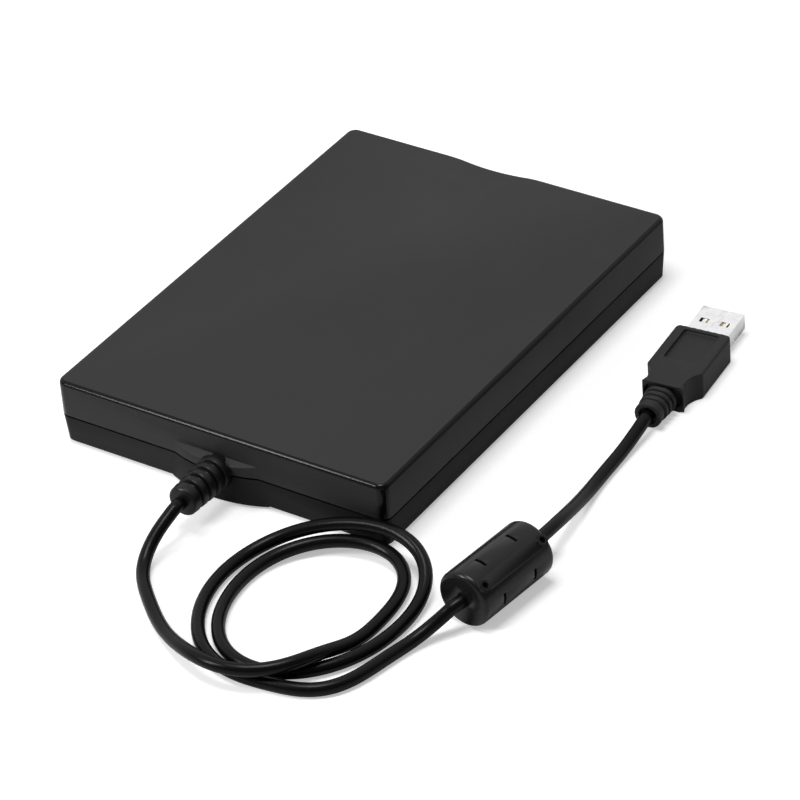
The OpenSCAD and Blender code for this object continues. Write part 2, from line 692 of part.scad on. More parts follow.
module disk_carrier() color([0.66, 0.67, 0.7]) {
    difference() {
        span([-bay_out / 2, bay_y0, bay_z0 - carrier_t], [bay_out / 2, bay_y1, bay_z1 + carrier_t]);
        span([-bay_in / 2, bay_y0 - over, bay_z0], [bay_in / 2, bay_y1 + over, bay_z1]);
        // open middle of the underside
        span([-bay_in / 2 + 7, bay_y0 - over, bay_z0 - over], [bay_in / 2 - 7, bay_y1 + over, bay_z0 + over]);
        // way for the head arm, and round relief over the hub
        span([-8, bay_y0 - over, bay_z1 - over], [8, bearing_y1 + 0.6, bay_z1 + 2 * over]);
        translate([0, hub_y, bay_z1 - over]) cylinder(d = 26, h = 3);
        translate([lever_x, lever_y, bay_z1 - over]) cylinder(d = 1.2 + 0.02, h = 3);
    }
    for (s = [-1, 1]) span([s * 24 - 8, bay_y0, bay_z0 + 1.2], [s * 24 + 8, bay_y0 + carrier_t, bay_z1 + 0.1]);
    for (y = pin_ys, s = [-1, 1])
        bar_x([s * (bay_out / 2 + (drive_w - bay_out) / 4 - 0.05) - (drive_w - bay_out) / 4 + 0.05, y, pin_z],
            pin_d, (drive_w - bay_out) / 2 - 0.1);
}

lever_x = 22;
lever_y = bay_y0 + 8;

module lever_pin() color([0.8, 0.8, 0.82]) {
    translate([lever_x, lever_y, bay_z1 - 1.6]) cylinder(d = 1.2, h = carrier_t + 1.6);
    translate([lever_x, lever_y, bay_z1 - 1.8]) cylinder(d = 2.4, h = 0.4);
}

// swings back as a disk pushes it, and draws the disk's shutter open
module shutter_lever() color([0.1, 0.1, 0.11]) translate([lever_x, lever_y, bay_z1 - 1.2]) difference() {
    union() {
        cylinder(d = 4.4, h = 0.9);
        rotate(160) translate([0, -1.2, 0]) cube([11, 2.4, 0.9]);
        rotate(160) translate([11, 0, -1.2]) cylinder(d = 2.4, h = 2.1);
    }
    translate([0, 0, -2]) cylinder(d = 1.2 + 2 * fit, h = 5);
}

module eject_slider() color([0.58, 0.59, 0.62]) {
    y0 = bay_y0 - 5;
    y1 = bay_y1 - 6;
    difference() {
        union() {
            span([-slide_out / 2, hub_y - 13.3, slide_z], [slide_out / 2, y1, slide_z + slide_t]);
            for (s = [-1, 1]) span([s * (slide_out - slide_t) / 2 - slide_t / 2, y0, base_z + 4],
                [s * (slide_out - slide_t) / 2 + slide_t / 2, y1, slide_z + slide_t]);
        }
        // windows in the top strap
        for (s = [-1, 1]) translate([s * 22, hub_y + 12.7, slide_z - over]) plate(36, 40, 3, 4);
        // cam slots that raise and lower the carrier
        for (y = pin_ys) track([y - eject_travel, pin_z - lift], [y, pin_z], pin_d + gap, -drive_w / 2, drive_w);
    }
    // arm out to the button, with a tab across its stem
    x = -slide_out / 2;
    span([x, y1 - 12, base_z + 1.2], [x + slide_t, tab_y + 0.5, base_z + 4.2]);
    span([x, tab_y, base_z + 1.2], [button_x + 3, tab_y + 0.5, base_z + 4.2]);
}

// ================= cable =================

function unit(v) = v / norm(v);

// a wound turn is 24 rings; the turns widen by coil_pitch, and at the case they lean up against its wall
coil_at = [47.4, -96.2];
coil_a = 18.2;
coil_b = 26.4;
coil_pitch = [5.8, 4.15];
lean_first = [3.5, -5, 2.3];
lean_second = [6, -7.1, 7.2];
coil_to = 645;
function coil_ring(t) = let (k = (t - 90) / 360, s = pow(max(0, sin(t)), 2)) [
    coil_at[0] + (coil_a + coil_pitch[0] * t / 360) * cos(t),
    coil_at[1] + (coil_b + coil_pitch[1] * t / 360) * sin(t),
    cord_r] + s * (lean_first * (1 - k) + lean_second * k);
function flat(v) = unit([v[0], v[1], 0]);
turns = [for (t = [0:15:coil_to]) coil_ring(t)];
last = len(turns) - 1;
in_u = flat(turns[1] - turns[0]);
out_u = flat(turns[last] - turns[last - 1]);
coil_in = turns[0] - cord_d * in_u;
coil_out = turns[last] + cord_d * out_u;
coil_path = concat([coil_in], turns, [coil_out]);

// where the choke and the plug lie on the surface
choke_a = [84.05, -85.84, choke_d / 2];
choke_u = [cos(choke_dir), sin(choke_dir), 0];
choke_b = choke_a + choke_l * choke_u;
plug_a = [82.4, 7, grip_h / 2];
plug_u = [cos(plug_dir), sin(plug_dir), 0];

// out of the case, down to the surface, over the coil's turns and down inside them
lead_path = concat([
    [boot_x, boot_y0, z_seam], [boot_x, boot_y0 - cord_d, z_seam], [0.2, -95.2, 8.1], [0, -99.4, 5.5],
    [0.4, -103.5, 3.2], [2, -107.3, 2], [5.5, -111.3, 1.8], [9.2, -114.9, 1.8], [15, -120.2, 1.8],
    [21.3, -124.8, 2.4], [28.5, -129, 3.8], [36, -132.2, 5.6], [43, -133.5, 6], [49, -132.3, 6],
    [53.2, -130, 6], [57, -127, 6], [60, -123.5, 6.1], [61.6, -119.7, 5.9], [62.6, -115.6, 4.9],
    [63.5, -111.6, 3.5], [64.5, -107.6, 2.3]],
    [coil_in - cord_d * in_u, coil_in]);
// from the coil to the choke
link_path = concat([coil_out, coil_out + cord_d * out_u], [
    [66.5, -125.9, 1.8], [70.3, -122, 1.8], [72.8, -116.8, 1.8], [74.6, -110.5, 1.8],
    [76.3, -103.8, 1.8], [77.8, -98.8, 2.1], [79.2, -95.2, 3.2], [80.7, -92.3, 4.8], [82.4, -89.8, 6.7]],
    [choke_a - 2 * choke_u, choke_a]);
// from the choke to the plug
tail_path = concat([choke_b, choke_b + 2 * choke_u], [
    [87.8, -53.4, 7.7], [87.7, -49.4, 7.2], [87.2, -44.7, 6.4], [86.5, -39, 5.1], [85.3, -32.4, 3.4],
    [84.3, -25.6, 2.2], [83.6, -18.6, 1.8], [83.2, -11, 1.8], [82.9, -3.5, 2.5]],
    [plug_a - cord_d * plug_u, plug_a + plug_eye * plug_u]);

// least distance between two runs of points, leaving out neighbours along one run
function least(a, b, skip) = min([for (i = [0:len(a) - 1], j = [0:len(b) - 1])
    if (j >= i + skip) norm(a[i] - b[j])]);
echo(str("least gap of the coil to itself ", least(coil_path, coil_path, 12) - cord_d, " mm"));
echo(str("least gap of the lead over the coil ",
    min([for (i = [9:len(lead_path) - 4], j = [18:len(coil_path) - 1])
        norm(lead_path[i] - coil_path[j])]) - cord_d, " mm"));

// tube of n sides swept along a path, its end faces square to the path
module tube(path, d, n) {
    m = len(path);
    function heading(i) = i == 0 ? unit(path[1] - path[0])
        : i == m - 1 ? unit(path[i] - path[i - 1])
        : unit(unit(path[i + 1] - path[i]) + unit(path[i] - path[i - 1]));
    rings = [for (i = [0:m - 1])
        let (t = heading(i), side = unit(cross(t, [0, 0, 1])), up = cross(side, t))
        for (k = [0:n - 1])
            let (a = 360 * (k + 0.5) / n) path[i] + (side * sin(a) - up * cos(a)) * d / 2];
    polyhedron(points = rings, convexity = 6, faces = concat(
        [[for (k = [n - 1:-1:0]) k]],
        [[for (k = [0:n - 1]) (m - 1) * n + k]],
        [for (i = [0:m - 2], k = [0:n - 1])
            let (a = i * n + k, b = i * n + (k + 1) % n) each [[a, b, b + n], [a, b + n, a + n]]]));
}

module cord_lead() color([0.05, 0.05, 0.05]) tube(lead_path, cord_d, 8);
module cord_coil() color([0.05, 0.05, 0.05]) tube(coil_path, cord_d, 6);
module cord_link() color([0.05, 0.05, 0.05]) tube(link_path, cord_d, 8);
module cord_tail() color([0.05, 0.05, 0.05]) tube(tail_path, cord_d, 8);

// ringed strain relief, turned about the cable's axis from its free end at z = 0
module ringed_boot(d0, d1, l, rings, groove) {
    step = (l - 3) / rings;
    rotate_extrude() polygon(concat([[0, 0], [d0 / 2 - 0.5, 0], [d0 / 2, 0.5]],
        [for (i = [0:rings - 1]) let (z = 3 + i * step, r = d0 / 2 + (d1 - d0) / 2 * z / l)
            each [[r, z - 0.2], [r - groove, z], [r - groove, z + step * 0.34], [r, z + step * 0.34 + 0.2]]],
        [[d1 / 2, l], [0, l]]));
}

module cable_boot() color([0.07, 0.07, 0.07]) translate([boot_x, boot_y0, z_seam]) rotate([-90, 0, 0]) {
    ringed_boot(boot_end_d, boot_d, boot_out, 4, 1.1);
    // neck held by the two shells, and the collar behind it
    translate([0, 0, boot_out - 0.1]) cylinder(d = boot_d - 2.1, h = wall + bulge_d + 0.2);
    translate([0, 0, boot_out + wall + bulge_d + 0.05]) cylinder(d = boot_d, h = 1);
}

module at_choke() { translate(choke_a) rotate([0, 0, choke_dir]) rotate([0, 90, 0]) children(); }

// moulded skin of the choke: round ends, two rings of slits and a latch eye at each end
choke_skin = 1.5;
slit_zs = [choke_l / 2 - 6.3, choke_l / 2 + 5.7];

module choke_cover() color([0.2, 0.2, 0.21]) at_choke() difference() {
    union() {
        rotate_extrude() polygon(concat(
            [[cord_r + fit, 0]],
            [for (t = [0:22.5:90]) [choke_d / 2 - 1.3 + 1.3 * sin(t), 1.3 - 1.3 * cos(t)]],
            [for (t = [0:22.5:90]) [choke_d / 2 - 1.3 + 1.3 * cos(t), choke_l - 1.3 + 1.3 * sin(t)]],
            [[cord_r + fit, choke_l]]));
        rotate(225) for (z = [2.3, choke_l - 2.3]) bar_x([choke_d / 2 - 1, 0, z], 3.4, 1.5);
    }
    translate([0, 0, 1.6]) cylinder(d = choke_d - 2 * choke_skin, h = choke_l - 3.2);
    for (a = [0:90:270], z = slit_zs)
        rotate(a + 4) translate([choke_d / 2, 0, z]) cube([2 * choke_skin + 1, 3.4, 0.9], center = true);
    rotate(225) for (z = [2.3, choke_l - 2.3]) bar_x([choke_d / 2 - 0.6, 0, z], 1.7, 2);
}

// the stretch of cable inside the choke
module choke_cord() color([0.05, 0.05, 0.05]) at_choke() cylinder(d = cord_d, h = choke_l);

module choke_core() color([0.25, 0.24, 0.24]) at_choke() translate([0, 0, 1.7]) difference() {
    cylinder(d = choke_d - 2 * choke_skin - gap, h = choke_l - 3.4);
    translate([0, 0, -over]) cylinder(d = cord_d + 0.6, h = choke_l);
}

module at_plug() { translate(plug_a) rotate([0, 0, plug_dir]) children(); }

plug_boot_l = 9.6;
grip_x0 = plug_boot_l;
grip_x1 = grip_x0 + grip_l;
// how far the grip's sides are hollowed for the fingers, where, and where the hollow ends
waist_in = 2.6;
waist_x = 3;
waist_end = 8;
waist_r = (pow(waist_end - waist_x, 2) + pow(waist_in, 2)) / (2 * waist_in);
grip_rear_w = grip_w - 2 * waist_in + 2 * (waist_r - sqrt(pow(waist_r, 2) - pow(waist_x, 2)));

// one oval ring of the plug's strain relief
module plug_ring(x, l, w, h) translate([x, 0, 0]) rotate([0, 90, 0]) plate(h, w, l, h / 2 - 0.1);

module plug_grip() color([0.22, 0.22, 0.22]) at_plug() {
    difference() {
        union() {
            plug_ring(0, plug_boot_l + 2, 6.6, grip_h - 2.4);
            plug_ring(0, 2.4, 7.6, grip_h - 0.8);
            for (i = [0:2]) plug_ring(3.3 + i * 2, 1.3, 8.2 + i * 0.4, grip_h - 0.9 + i * 0.2);
        }
        // eye round the cable
        bar_x([-over, 0, 0], cord_d + 1.4, over + plug_eye);
    }
    difference() {
        intersection() {
            translate([grip_x0 + grip_l / 2, 0, -grip_h / 2]) plate(grip_l, grip_w, grip_h, 1.5);
            translate([grip_x0 - over, 0, 0]) rotate([0, 90, 0]) plate(grip_h, grip_w, grip_l + 2 * over, 0.7);
        }
        // finger hollows at the sides
        for (side = [-1, 1]) translate([grip_x0 + waist_x, side * (grip_w / 2 - waist_in + waist_r), -grip_h])
            cylinder(r = waist_r, h = 2 * grip_h, $fn = 96);
        // bare sunk panel in the top face
        translate([grip_x1 - 8.2, 0, grip_h / 2 - 0.5]) plate(14, 10, 2, 0.8);
        // pocket round the strain relief
        translate([grip_x0 - over, 0, 0]) rotate([0, 90, 0])
            plate(grip_h - 1.4, grip_rear_w - 1.8, over + 1.5, 2.4);
        // pocket for the shell
        span([grip_x1 - 4, -6.05, -2.3], [grip_x1 + over, 6.05, 2.3]);
    }
}

window_x = grip_x1 + shell_out - 7.4;

// line of the shell's folded joint, set to one side by a shift
function shell_seam(shift) = [[-0.5, shift], [shell_out * 0.52 + shift, shift],
    [shell_out * 0.5 + shift, -0.9 + shift], [shell_out * 0.78 - shift, -1.2 + shift],
    [shell_out * 0.76 - shift, shift], [shell_out + over, shift]];

module plug_shell() color([0.85, 0.86, 0.87]) at_plug() {
    // springs that show in the windows, let down from the sheet in front of them
    for (s = [-1, 1], z = [-2.08, 1.83])
        span([window_x + 0.4, s * 3 - 0.55, z - 0.14], [window_x + 2.5, s * 3 + 0.55, z + 0.14]);
    difference() {
    span([grip_x1 - 4, -6, -2.25], [grip_x1 + shell_out, 6, 2.25]);
    span([grip_x1 - 4 - over, -5.7, -1.95], [grip_x1 + shell_out + over, 5.7, 1.95]);
    // latch windows, two in each broad face
    for (s = [-1, 1]) span([window_x, s * 3 - 1.25, -over * 3], [window_x + 2, s * 3 + 1.25, over * 3]);
    // folded joint of the sheet, with its dovetail
    translate([grip_x1, 0, 2.15]) linear_extrude(over) polygon(concat(shell_seam(-0.07),
        [for (i = [5:-1:0]) shell_seam(0.07)[i]]));
    }
}

module plug_tongue() color([0.92, 0.92, 0.92]) at_plug()
    span([grip_x1 - 4, -5.6, -1.9], [grip_x1 + shell_out - 1.2, 5.6, 0]);

module plug_contacts() color([0.85, 0.7, 0.3]) at_plug()
    for (y = [-3.5, -1, 1, 3.5]) span([grip_x1 - 1, y - 0.5, 0], [grip_x1 + shell_out - 2.4, y + 0.5, 0.25]);

// ================= all parts =================

top_cover();
bottom_case();
rubber_feet();
case_screws();
front_bezel();
light_pipe();
status_led();
led_board();
chassis();
drive_cover();
drive_screws();
logic_board();
logic_chips();
usb_board();
usb_chips();
flex_cable();
motor_board();
spindle_stator();
spindle_bearing();
stepper_motor();
guide_rod();
media_switches();
cable_boot();
cord_lead();
cord_coil();
cord_link();
cord_tail();
choke_cord();
choke_cover();
choke_core();
plug_grip();
plug_shell();
plug_tongue();
plug_contacts();
eject_button();
eject_slider();
disk_carrier();
shutter_lever();
lever_pin();
head_carriage();
lower_head();
head_arm();
arm_pin();
upper_head();
lead_screw();
rotor_cup();
rotor_magnet();
spindle_hub();
slot_door();
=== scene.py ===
"""External floppy disk drive with its coiled cable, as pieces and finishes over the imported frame."""
import json
from math import cos, degrees, pi, radians, sin

import bpy
from mathutils import Matrix, Vector


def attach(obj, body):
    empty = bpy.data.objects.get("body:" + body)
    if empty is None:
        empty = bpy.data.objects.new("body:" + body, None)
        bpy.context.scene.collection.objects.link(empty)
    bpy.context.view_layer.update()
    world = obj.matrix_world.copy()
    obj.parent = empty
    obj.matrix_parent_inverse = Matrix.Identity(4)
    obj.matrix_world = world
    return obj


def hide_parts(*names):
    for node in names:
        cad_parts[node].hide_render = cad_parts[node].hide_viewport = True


bl_info = {
    "name": "External floppy disk drive",
    "version": (1, 0, 0),
    "blender": (4, 5, 0),
    "location": "3D Viewport > Sidebar > Disk drive",
    "description": "Builds the pieces, finishes and studio of an external floppy disk drive",
    "category": "Object",
}

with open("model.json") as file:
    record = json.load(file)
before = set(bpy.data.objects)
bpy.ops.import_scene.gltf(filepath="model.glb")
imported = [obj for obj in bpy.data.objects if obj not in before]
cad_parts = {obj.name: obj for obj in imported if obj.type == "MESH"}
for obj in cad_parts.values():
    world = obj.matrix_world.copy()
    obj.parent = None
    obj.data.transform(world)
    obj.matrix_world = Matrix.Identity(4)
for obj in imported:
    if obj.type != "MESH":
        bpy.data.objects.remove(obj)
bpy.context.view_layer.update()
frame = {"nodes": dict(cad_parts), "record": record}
MM = 0.001


# ---------------------------------------------------------------- settings

class DRIVE_PG_sizes(bpy.types.PropertyGroup):
    cord_diameter: bpy.props.FloatProperty(
        name="Cable diameter", description="Outside diameter of the round cable",
        default=3.6 * MM, min=0.002, max=0.006, unit="LENGTH")
    shell_softness: bpy.props.FloatProperty(
        name="Shell edge radius", description="Small radius on the sharp edges of the two case shells",
        default=0.18 * MM, min=0.0, max=0.0005, unit="LENGTH")
    grip_softness: bpy.props.FloatProperty(
        name="Plug edge radius", description="Radius on the edges of the plug's grip",
        default=0.35 * MM, min=0.0, max=0.001, unit="LENGTH")
    thread_pitch: bpy.props.FloatProperty(
        name="Lead screw pitch", description="Travel of the heads for one turn of the lead screw",
        default=3.75 * MM, min=0.0005, max=0.006, unit="LENGTH")
    pin_pitch: bpy.props.FloatProperty(
        name="Chip pin pitch", description="Distance between two pins of a chip",
        default=0.8 * MM, min=0.0004, max=0.00127, unit="LENGTH")


class DRIVE_PG_colours(bpy.types.PropertyGroup):
    cover: bpy.props.FloatVectorProperty(
        name="Top cover", description="Moulded plastic of the top cover",
        subtype="COLOR", size=3, default=(0.023, 0.023, 0.0234), min=0, max=1)
    case: bpy.props.FloatVectorProperty(
        name="Bottom case", description="Moulded plastic of the lower shell",
        subtype="COLOR", size=3, default=(0.0115, 0.0115, 0.0117), min=0, max=1)
    cord: bpy.props.FloatVectorProperty(
        name="Cable", description="Soft sheath of the cable",
        subtype="COLOR", size=3, default=(0.003, 0.003, 0.003), min=0, max=1)
    plug: bpy.props.FloatVectorProperty(
        name="Plug grip", description="Moulded grip of the plug",
        subtype="COLOR", size=3, default=(0.019, 0.019, 0.0194), min=0, max=1)
    board: bpy.props.FloatVectorProperty(
        name="Circuit boards", description="Solder mask of the circuit boards",
        subtype="COLOR", size=3, default=(0.010, 0.090, 0.030), min=0, max=1)


def sizes():
    return bpy.context.scene.drive_sizes


def colours():
    return bpy.context.scene.drive_colours


# ---------------------------------------------------------------- node helpers

def feed(tree, made, feeds):
    """Gives each input of a node its value, or a link from the output that is named for it."""
    for key, value in feeds.items():
        if isinstance(value, bpy.types.NodeSocket):
            tree.links.new(value, made.inputs[key])
        else:
            made.inputs[key].default_value = value
    return made


def node(tree, kind, at=(0, 0), feeds=None, **props):
    made = tree.nodes.new(kind)
    made.location = at
    for key, value in props.items():
        setattr(made, key, value)
    return feed(tree, made, feeds or {})


def maths(tree, operation, at, *values):
    """What a Math node makes of its values."""
    return node(tree, "ShaderNodeMath", at, dict(enumerate(values)), operation=operation).outputs[0]


def scaled(tree, colour, factor, at):
    """A colour times a factor that changes over the surface."""
    made = node(tree, "ShaderNodeVectorMath", at, {0: colour, "Scale": factor}, operation="SCALE")
    return made.outputs["Vector"]


def mapped(tree, value, low, high, at, to=(0.0, 1.0), **props):
    """A value moved from the range between low and high to another range, and held in it."""
    feeds = {"Value": value, "From Min": low, "From Max": high, "To Min": to[0], "To Max": to[1]}
    return node(tree, "ShaderNodeMapRange", at, feeds, **props).outputs["Result"]


def blended(tree, data_type, factor, first, second, at):
    """A Mix node's result; its sockets go by number, because their names repeat."""
    a, b, result = {"RGBA": (6, 7, 2), "FLOAT": (2, 3, 0)}[data_type]
    feeds = {"Factor": factor, a: first, b: second}
    return node(tree, "ShaderNodeMix", at, feeds, data_type=data_type).outputs[result]


def object_place(tree):
    return node(tree, "ShaderNodeTexCoord", (-1100, 0)).outputs["Object"]


def noise(tree, at, vector, scale, detail):
    feeds = {"Vector": vector, "Scale": scale, "Detail": detail}
    return node(tree, "ShaderNodeTexNoise", at, feeds).outputs["Fac"]


# ---------------------------------------------------------------- shared effects

COATING = [("Color", "Color"), ("Roughness", "Float"), ("Height", "Float")]


def new_group(name, inputs, outputs):
    """A shader node group with its sockets, and what is given to it."""
    tree = bpy.data.node_groups.new(name, "ShaderNodeTree")
    for label, kind, default in inputs:
        made = tree.interface.new_socket(label, in_out="INPUT", socket_type="NodeSocket" + kind)
        made.default_value = default
    for label, kind in outputs:
        tree.interface.new_socket(label, in_out="OUTPUT", socket_type="NodeSocket" + kind)
    return tree, node(tree, "NodeGroupInput", (-900, 0)).outputs


def grain_group(name):
    """Fine spark-eroded grain of moulded plastic, with faint clouding from handling."""
    tree, given = new_group(
        name,
        [("Base", "Color", (0.05, 0.05, 0.05, 1)), ("Scale", "Float", 1500.0), ("Depth", "Float", 0.5),
         ("Cloud", "Float", 0.08), ("Dull", "Float", 0.5)], COATING)
    place = object_place(tree)
    fine = noise(tree, (-650, -100), place, given["Scale"], 3)
    cells = node(tree, "ShaderNodeTexVoronoi", (-650, -400), {"Vector": place, "Scale": given["Scale"]})
    both = maths(tree, "ADD", (-400, -200), fine, cells.outputs["Distance"])
    cloud = mapped(tree, noise(tree, (-650, 250), place, 38, 4), 0.3, 0.7, (-400, 250), to=(-1.0, 1.0))
    amount = maths(tree, "MULTIPLY_ADD", (-200, 250), cloud, given["Cloud"], 1.0)
    speck = maths(tree, "MULTIPLY_ADD", (-200, 60), fine, 0.16, 0.92)
    shade = maths(tree, "MULTIPLY", (0, 150), amount, speck)
    node(tree, "NodeGroupOutput", (700, 0), {
        "Color": scaled(tree, given["Base"], shade, (250, 150)),
        "Roughness": maths(tree, "MULTIPLY_ADD", (250, -50), cloud, -0.02, given["Dull"]),
        "Height": maths(tree, "MULTIPLY", (-200, -200), both, given["Depth"])})
    return tree


def edge_group(name):
    """Mask of the edges within a radius, broken up by noise, where handling wears a piece."""
    tree, given = new_group(
        name, [("Radius", "Float", 0.0004), ("Patch", "Float", 260.0)], [("Mask", "Float")])
    soft = node(tree, "ShaderNodeBevel", (-650, 0), {"Radius": given["Radius"]}, samples=4)
    true = node(tree, "ShaderNodeNewGeometry", (-650, -250))
    apart = node(tree, "ShaderNodeVectorMath", (-400, 0),
                 {0: soft.outputs["Normal"], 1: true.outputs["Normal"]}, operation="DOT_PRODUCT")
    edge = mapped(tree, apart.outputs["Value"], 0.995, 0.9, (-150, 0))
    patches = noise(tree, (-400, 300), object_place(tree), given["Patch"], 4)
    rubbed = mapped(tree, patches, 0.42, 0.62, (-150, 300))
    node(tree, "NodeGroupOutput", (700, 0), {"Mask": maths(tree, "MULTIPLY", (150, 150), edge, rubbed)})
    return tree


def rolled_group(name):
    """Lines of rolling or brushing on sheet metal, along one axis of the part."""
    tree, given = new_group(
        name,
        [("Base", "Color", (0.5, 0.5, 0.5, 1)), ("Stretch", "Vector", (30.0, 900.0, 900.0)),
         ("Depth", "Float", 0.3), ("Dull", "Float", 0.32)], COATING)
    place = object_place(tree)
    drawn = node(tree, "ShaderNodeVectorMath", (-700, -200), {0: place, 1: given["Stretch"]},
                 operation="MULTIPLY")
    lines = noise(tree, (-500, -150), drawn.outputs["Vector"], 1, 5)
    spots = noise(tree, (-500, 200), place, 110, 3)
    shade = maths(tree, "MULTIPLY_ADD", (-250, 100), lines, 0.35, 0.8)
    rough = maths(tree, "MULTIPLY_ADD", (-50, -50), spots, 0.25, -0.12)
    node(tree, "NodeGroupOutput", (700, 0), {
        "Color": scaled(tree, given["Base"], shade, (200, 150)),
        "Roughness": maths(tree, "ADD", (200, -50), rough, given["Dull"]),
        "Height": maths(tree, "MULTIPLY", (200, -250), lines, given["Depth"])})
    return tree


def board_group(name):
    """Solder mask with raised copper runs and small tinned pads."""
    tree, given = new_group(
        name, [("Mask", "Color", (0.01, 0.09, 0.03, 1)), ("Copper", "Color", (0.03, 0.16, 0.05, 1))],
        [("Color", "Color"), ("Metallic", "Float"), ("Height", "Float")])
    tin = (0.55, 0.56, 0.56, 1)
    place = object_place(tree)
    bricks = node(tree, "ShaderNodeTexBrick", (-800, 100),
                  {"Vector": place, "Scale": 260, "Mortar Size": 0.035, "Mortar Smooth": 0.2},
                  offset=0.37, squash=0.6)
    runs = bricks.outputs["Fac"]
    dots = node(tree, "ShaderNodeTexVoronoi", (-800, -250),
                {"Vector": place, "Scale": 420, "Randomness": 0.75})
    pad = maths(tree, "LESS_THAN", (-550, -250), dots.outputs["Distance"], 0.13)
    copper = blended(tree, "RGBA", runs, given["Mask"], given["Copper"], (-300, 100))
    node(tree, "NodeGroupOutput", (700, 0), {
        "Color": blended(tree, "RGBA", pad, copper, tin, (-50, 50)),
        "Metallic": pad,
        "Height": maths(tree, "ADD", (-50, -200), runs, pad)})
    return tree


GROUPS = {"Moulded grain": grain_group, "Worn edges": edge_group, "Rolled metal": rolled_group,
          "Circuit runs": board_group}


def placed(tree, name, at, values):
    """A shared effect with this material's own values; its group is built where it is first used."""
    group = bpy.data.node_groups.get(name) or GROUPS[name](name)
    return feed(tree, node(tree, "ShaderNodeGroup", at, node_tree=group), values).outputs


# ---------------------------------------------------------------- finishes

def material(name):
    """A material cleared down to a Principled shader and its output."""
    made = bpy.data.materials.new(name)
    made.use_nodes = True
    tree = made.node_tree
    tree.nodes.clear()
    shader = node(tree, "ShaderNodeBsdfPrincipled", (300, 0))
    node(tree, "ShaderNodeOutputMaterial", (600, 0), {"Surface": shader.outputs["BSDF"]})
    return made, tree, shader


def bumped(tree, shader, height, distance):
    bump = node(tree, "ShaderNodeBump", (60, -260),
                {"Strength": 1.0, "Distance": distance, "Height": height})
    feed(tree, shader, {"Normal": bump.outputs["Normal"]})


def worn(tree, shader, colour, roughness, gain, polish, radius):
    """Feeds colour and roughness to the shader, changed along the piece's edges."""
    mask = placed(tree, "Worn edges", (-200, 350), {"Radius": radius})["Mask"]
    bright = maths(tree, "MULTIPLY_ADD", (0, 350), mask, gain, 1.0)
    feed(tree, shader, {
        "Base Color": scaled(tree, colour, bright, (150, 250)),
        "Roughness": maths(tree, "MULTIPLY_ADD", (0, 150), mask, -polish, roughness)})


def plastic(name, base, scale=1500.0, cloud=0.08, dull=0.5, bump=0.02, specular=0.14, rim=None):
    """Moulded plastic or rubber, its bump in mm; the last argument gives the tone of the painted shade on
    its marked edges and their roughness.
    """
    made, tree, shader = material(name)
    grain = placed(tree, "Moulded grain", (-200, 0), {"Base": (*base, 1), "Scale": scale, "Cloud": cloud,
                                                      "Dull": dull})
    colour, roughness = grain["Color"], grain["Roughness"]
    if rim:
        # the marked edges get painted shade, a dark tone blended into their colour, and a roughness of their
        # own
        painted_rim_shade = node(tree, "ShaderNodeAttribute", (-600, 500), attribute_name="rim").outputs["Fac"]
        tone, gloss = rim
        colour = blended(tree, "RGBA", painted_rim_shade, colour, (tone, tone, tone, 1), (-350, 500))
        roughness = blended(tree, "FLOAT", painted_rim_shade, roughness, gloss, (-350, 700))
    worn(tree, shader, colour, roughness, gain=0.6, polish=0.08, radius=0.4 * MM)
    bumped(tree, shader, grain["Height"], bump * MM)
    feed(tree, shader, {"Specular IOR Level": specular})
    return made


def metal(name, base, stretch=(30.0, 900.0, 900.0), depth=0.3, dull=0.32, bump=0.01):
    """Rolled, ground or plated metal, its bump in mm; stretch gives the lines' fineness along each axis."""
    made, tree, shader = material(name)
    rolled = placed(tree, "Rolled metal", (-200, 0), {"Base": (*base, 1), "Stretch": stretch, "Depth": depth,
                                                      "Dull": dull})
    worn(tree, shader, rolled["Color"], rolled["Roughness"], gain=0.2, polish=0.06, radius=0.2 * MM)
    bumped(tree, shader, rolled["Height"], bump * MM)
    feed(tree, shader, {"Metallic": 1.0})
    return made


def board_finish(name):
    made, tree, shader = material(name)
    runs = placed(tree, "Circuit runs", (-200, 0), {"Mask": (*colours().board, 1)})
    bumped(tree, shader, runs["Height"], 0.03 * MM)
    feed(tree, shader, {"Base Color": runs["Color"], "Metallic": runs["Metallic"], "Roughness": 0.35})
    return made


RIM_SHADE_AND_GLOSS = (0.003, 0.17)  # the tone of the painted shade and the roughness of the shells' glossy edges
FINISHES = {}


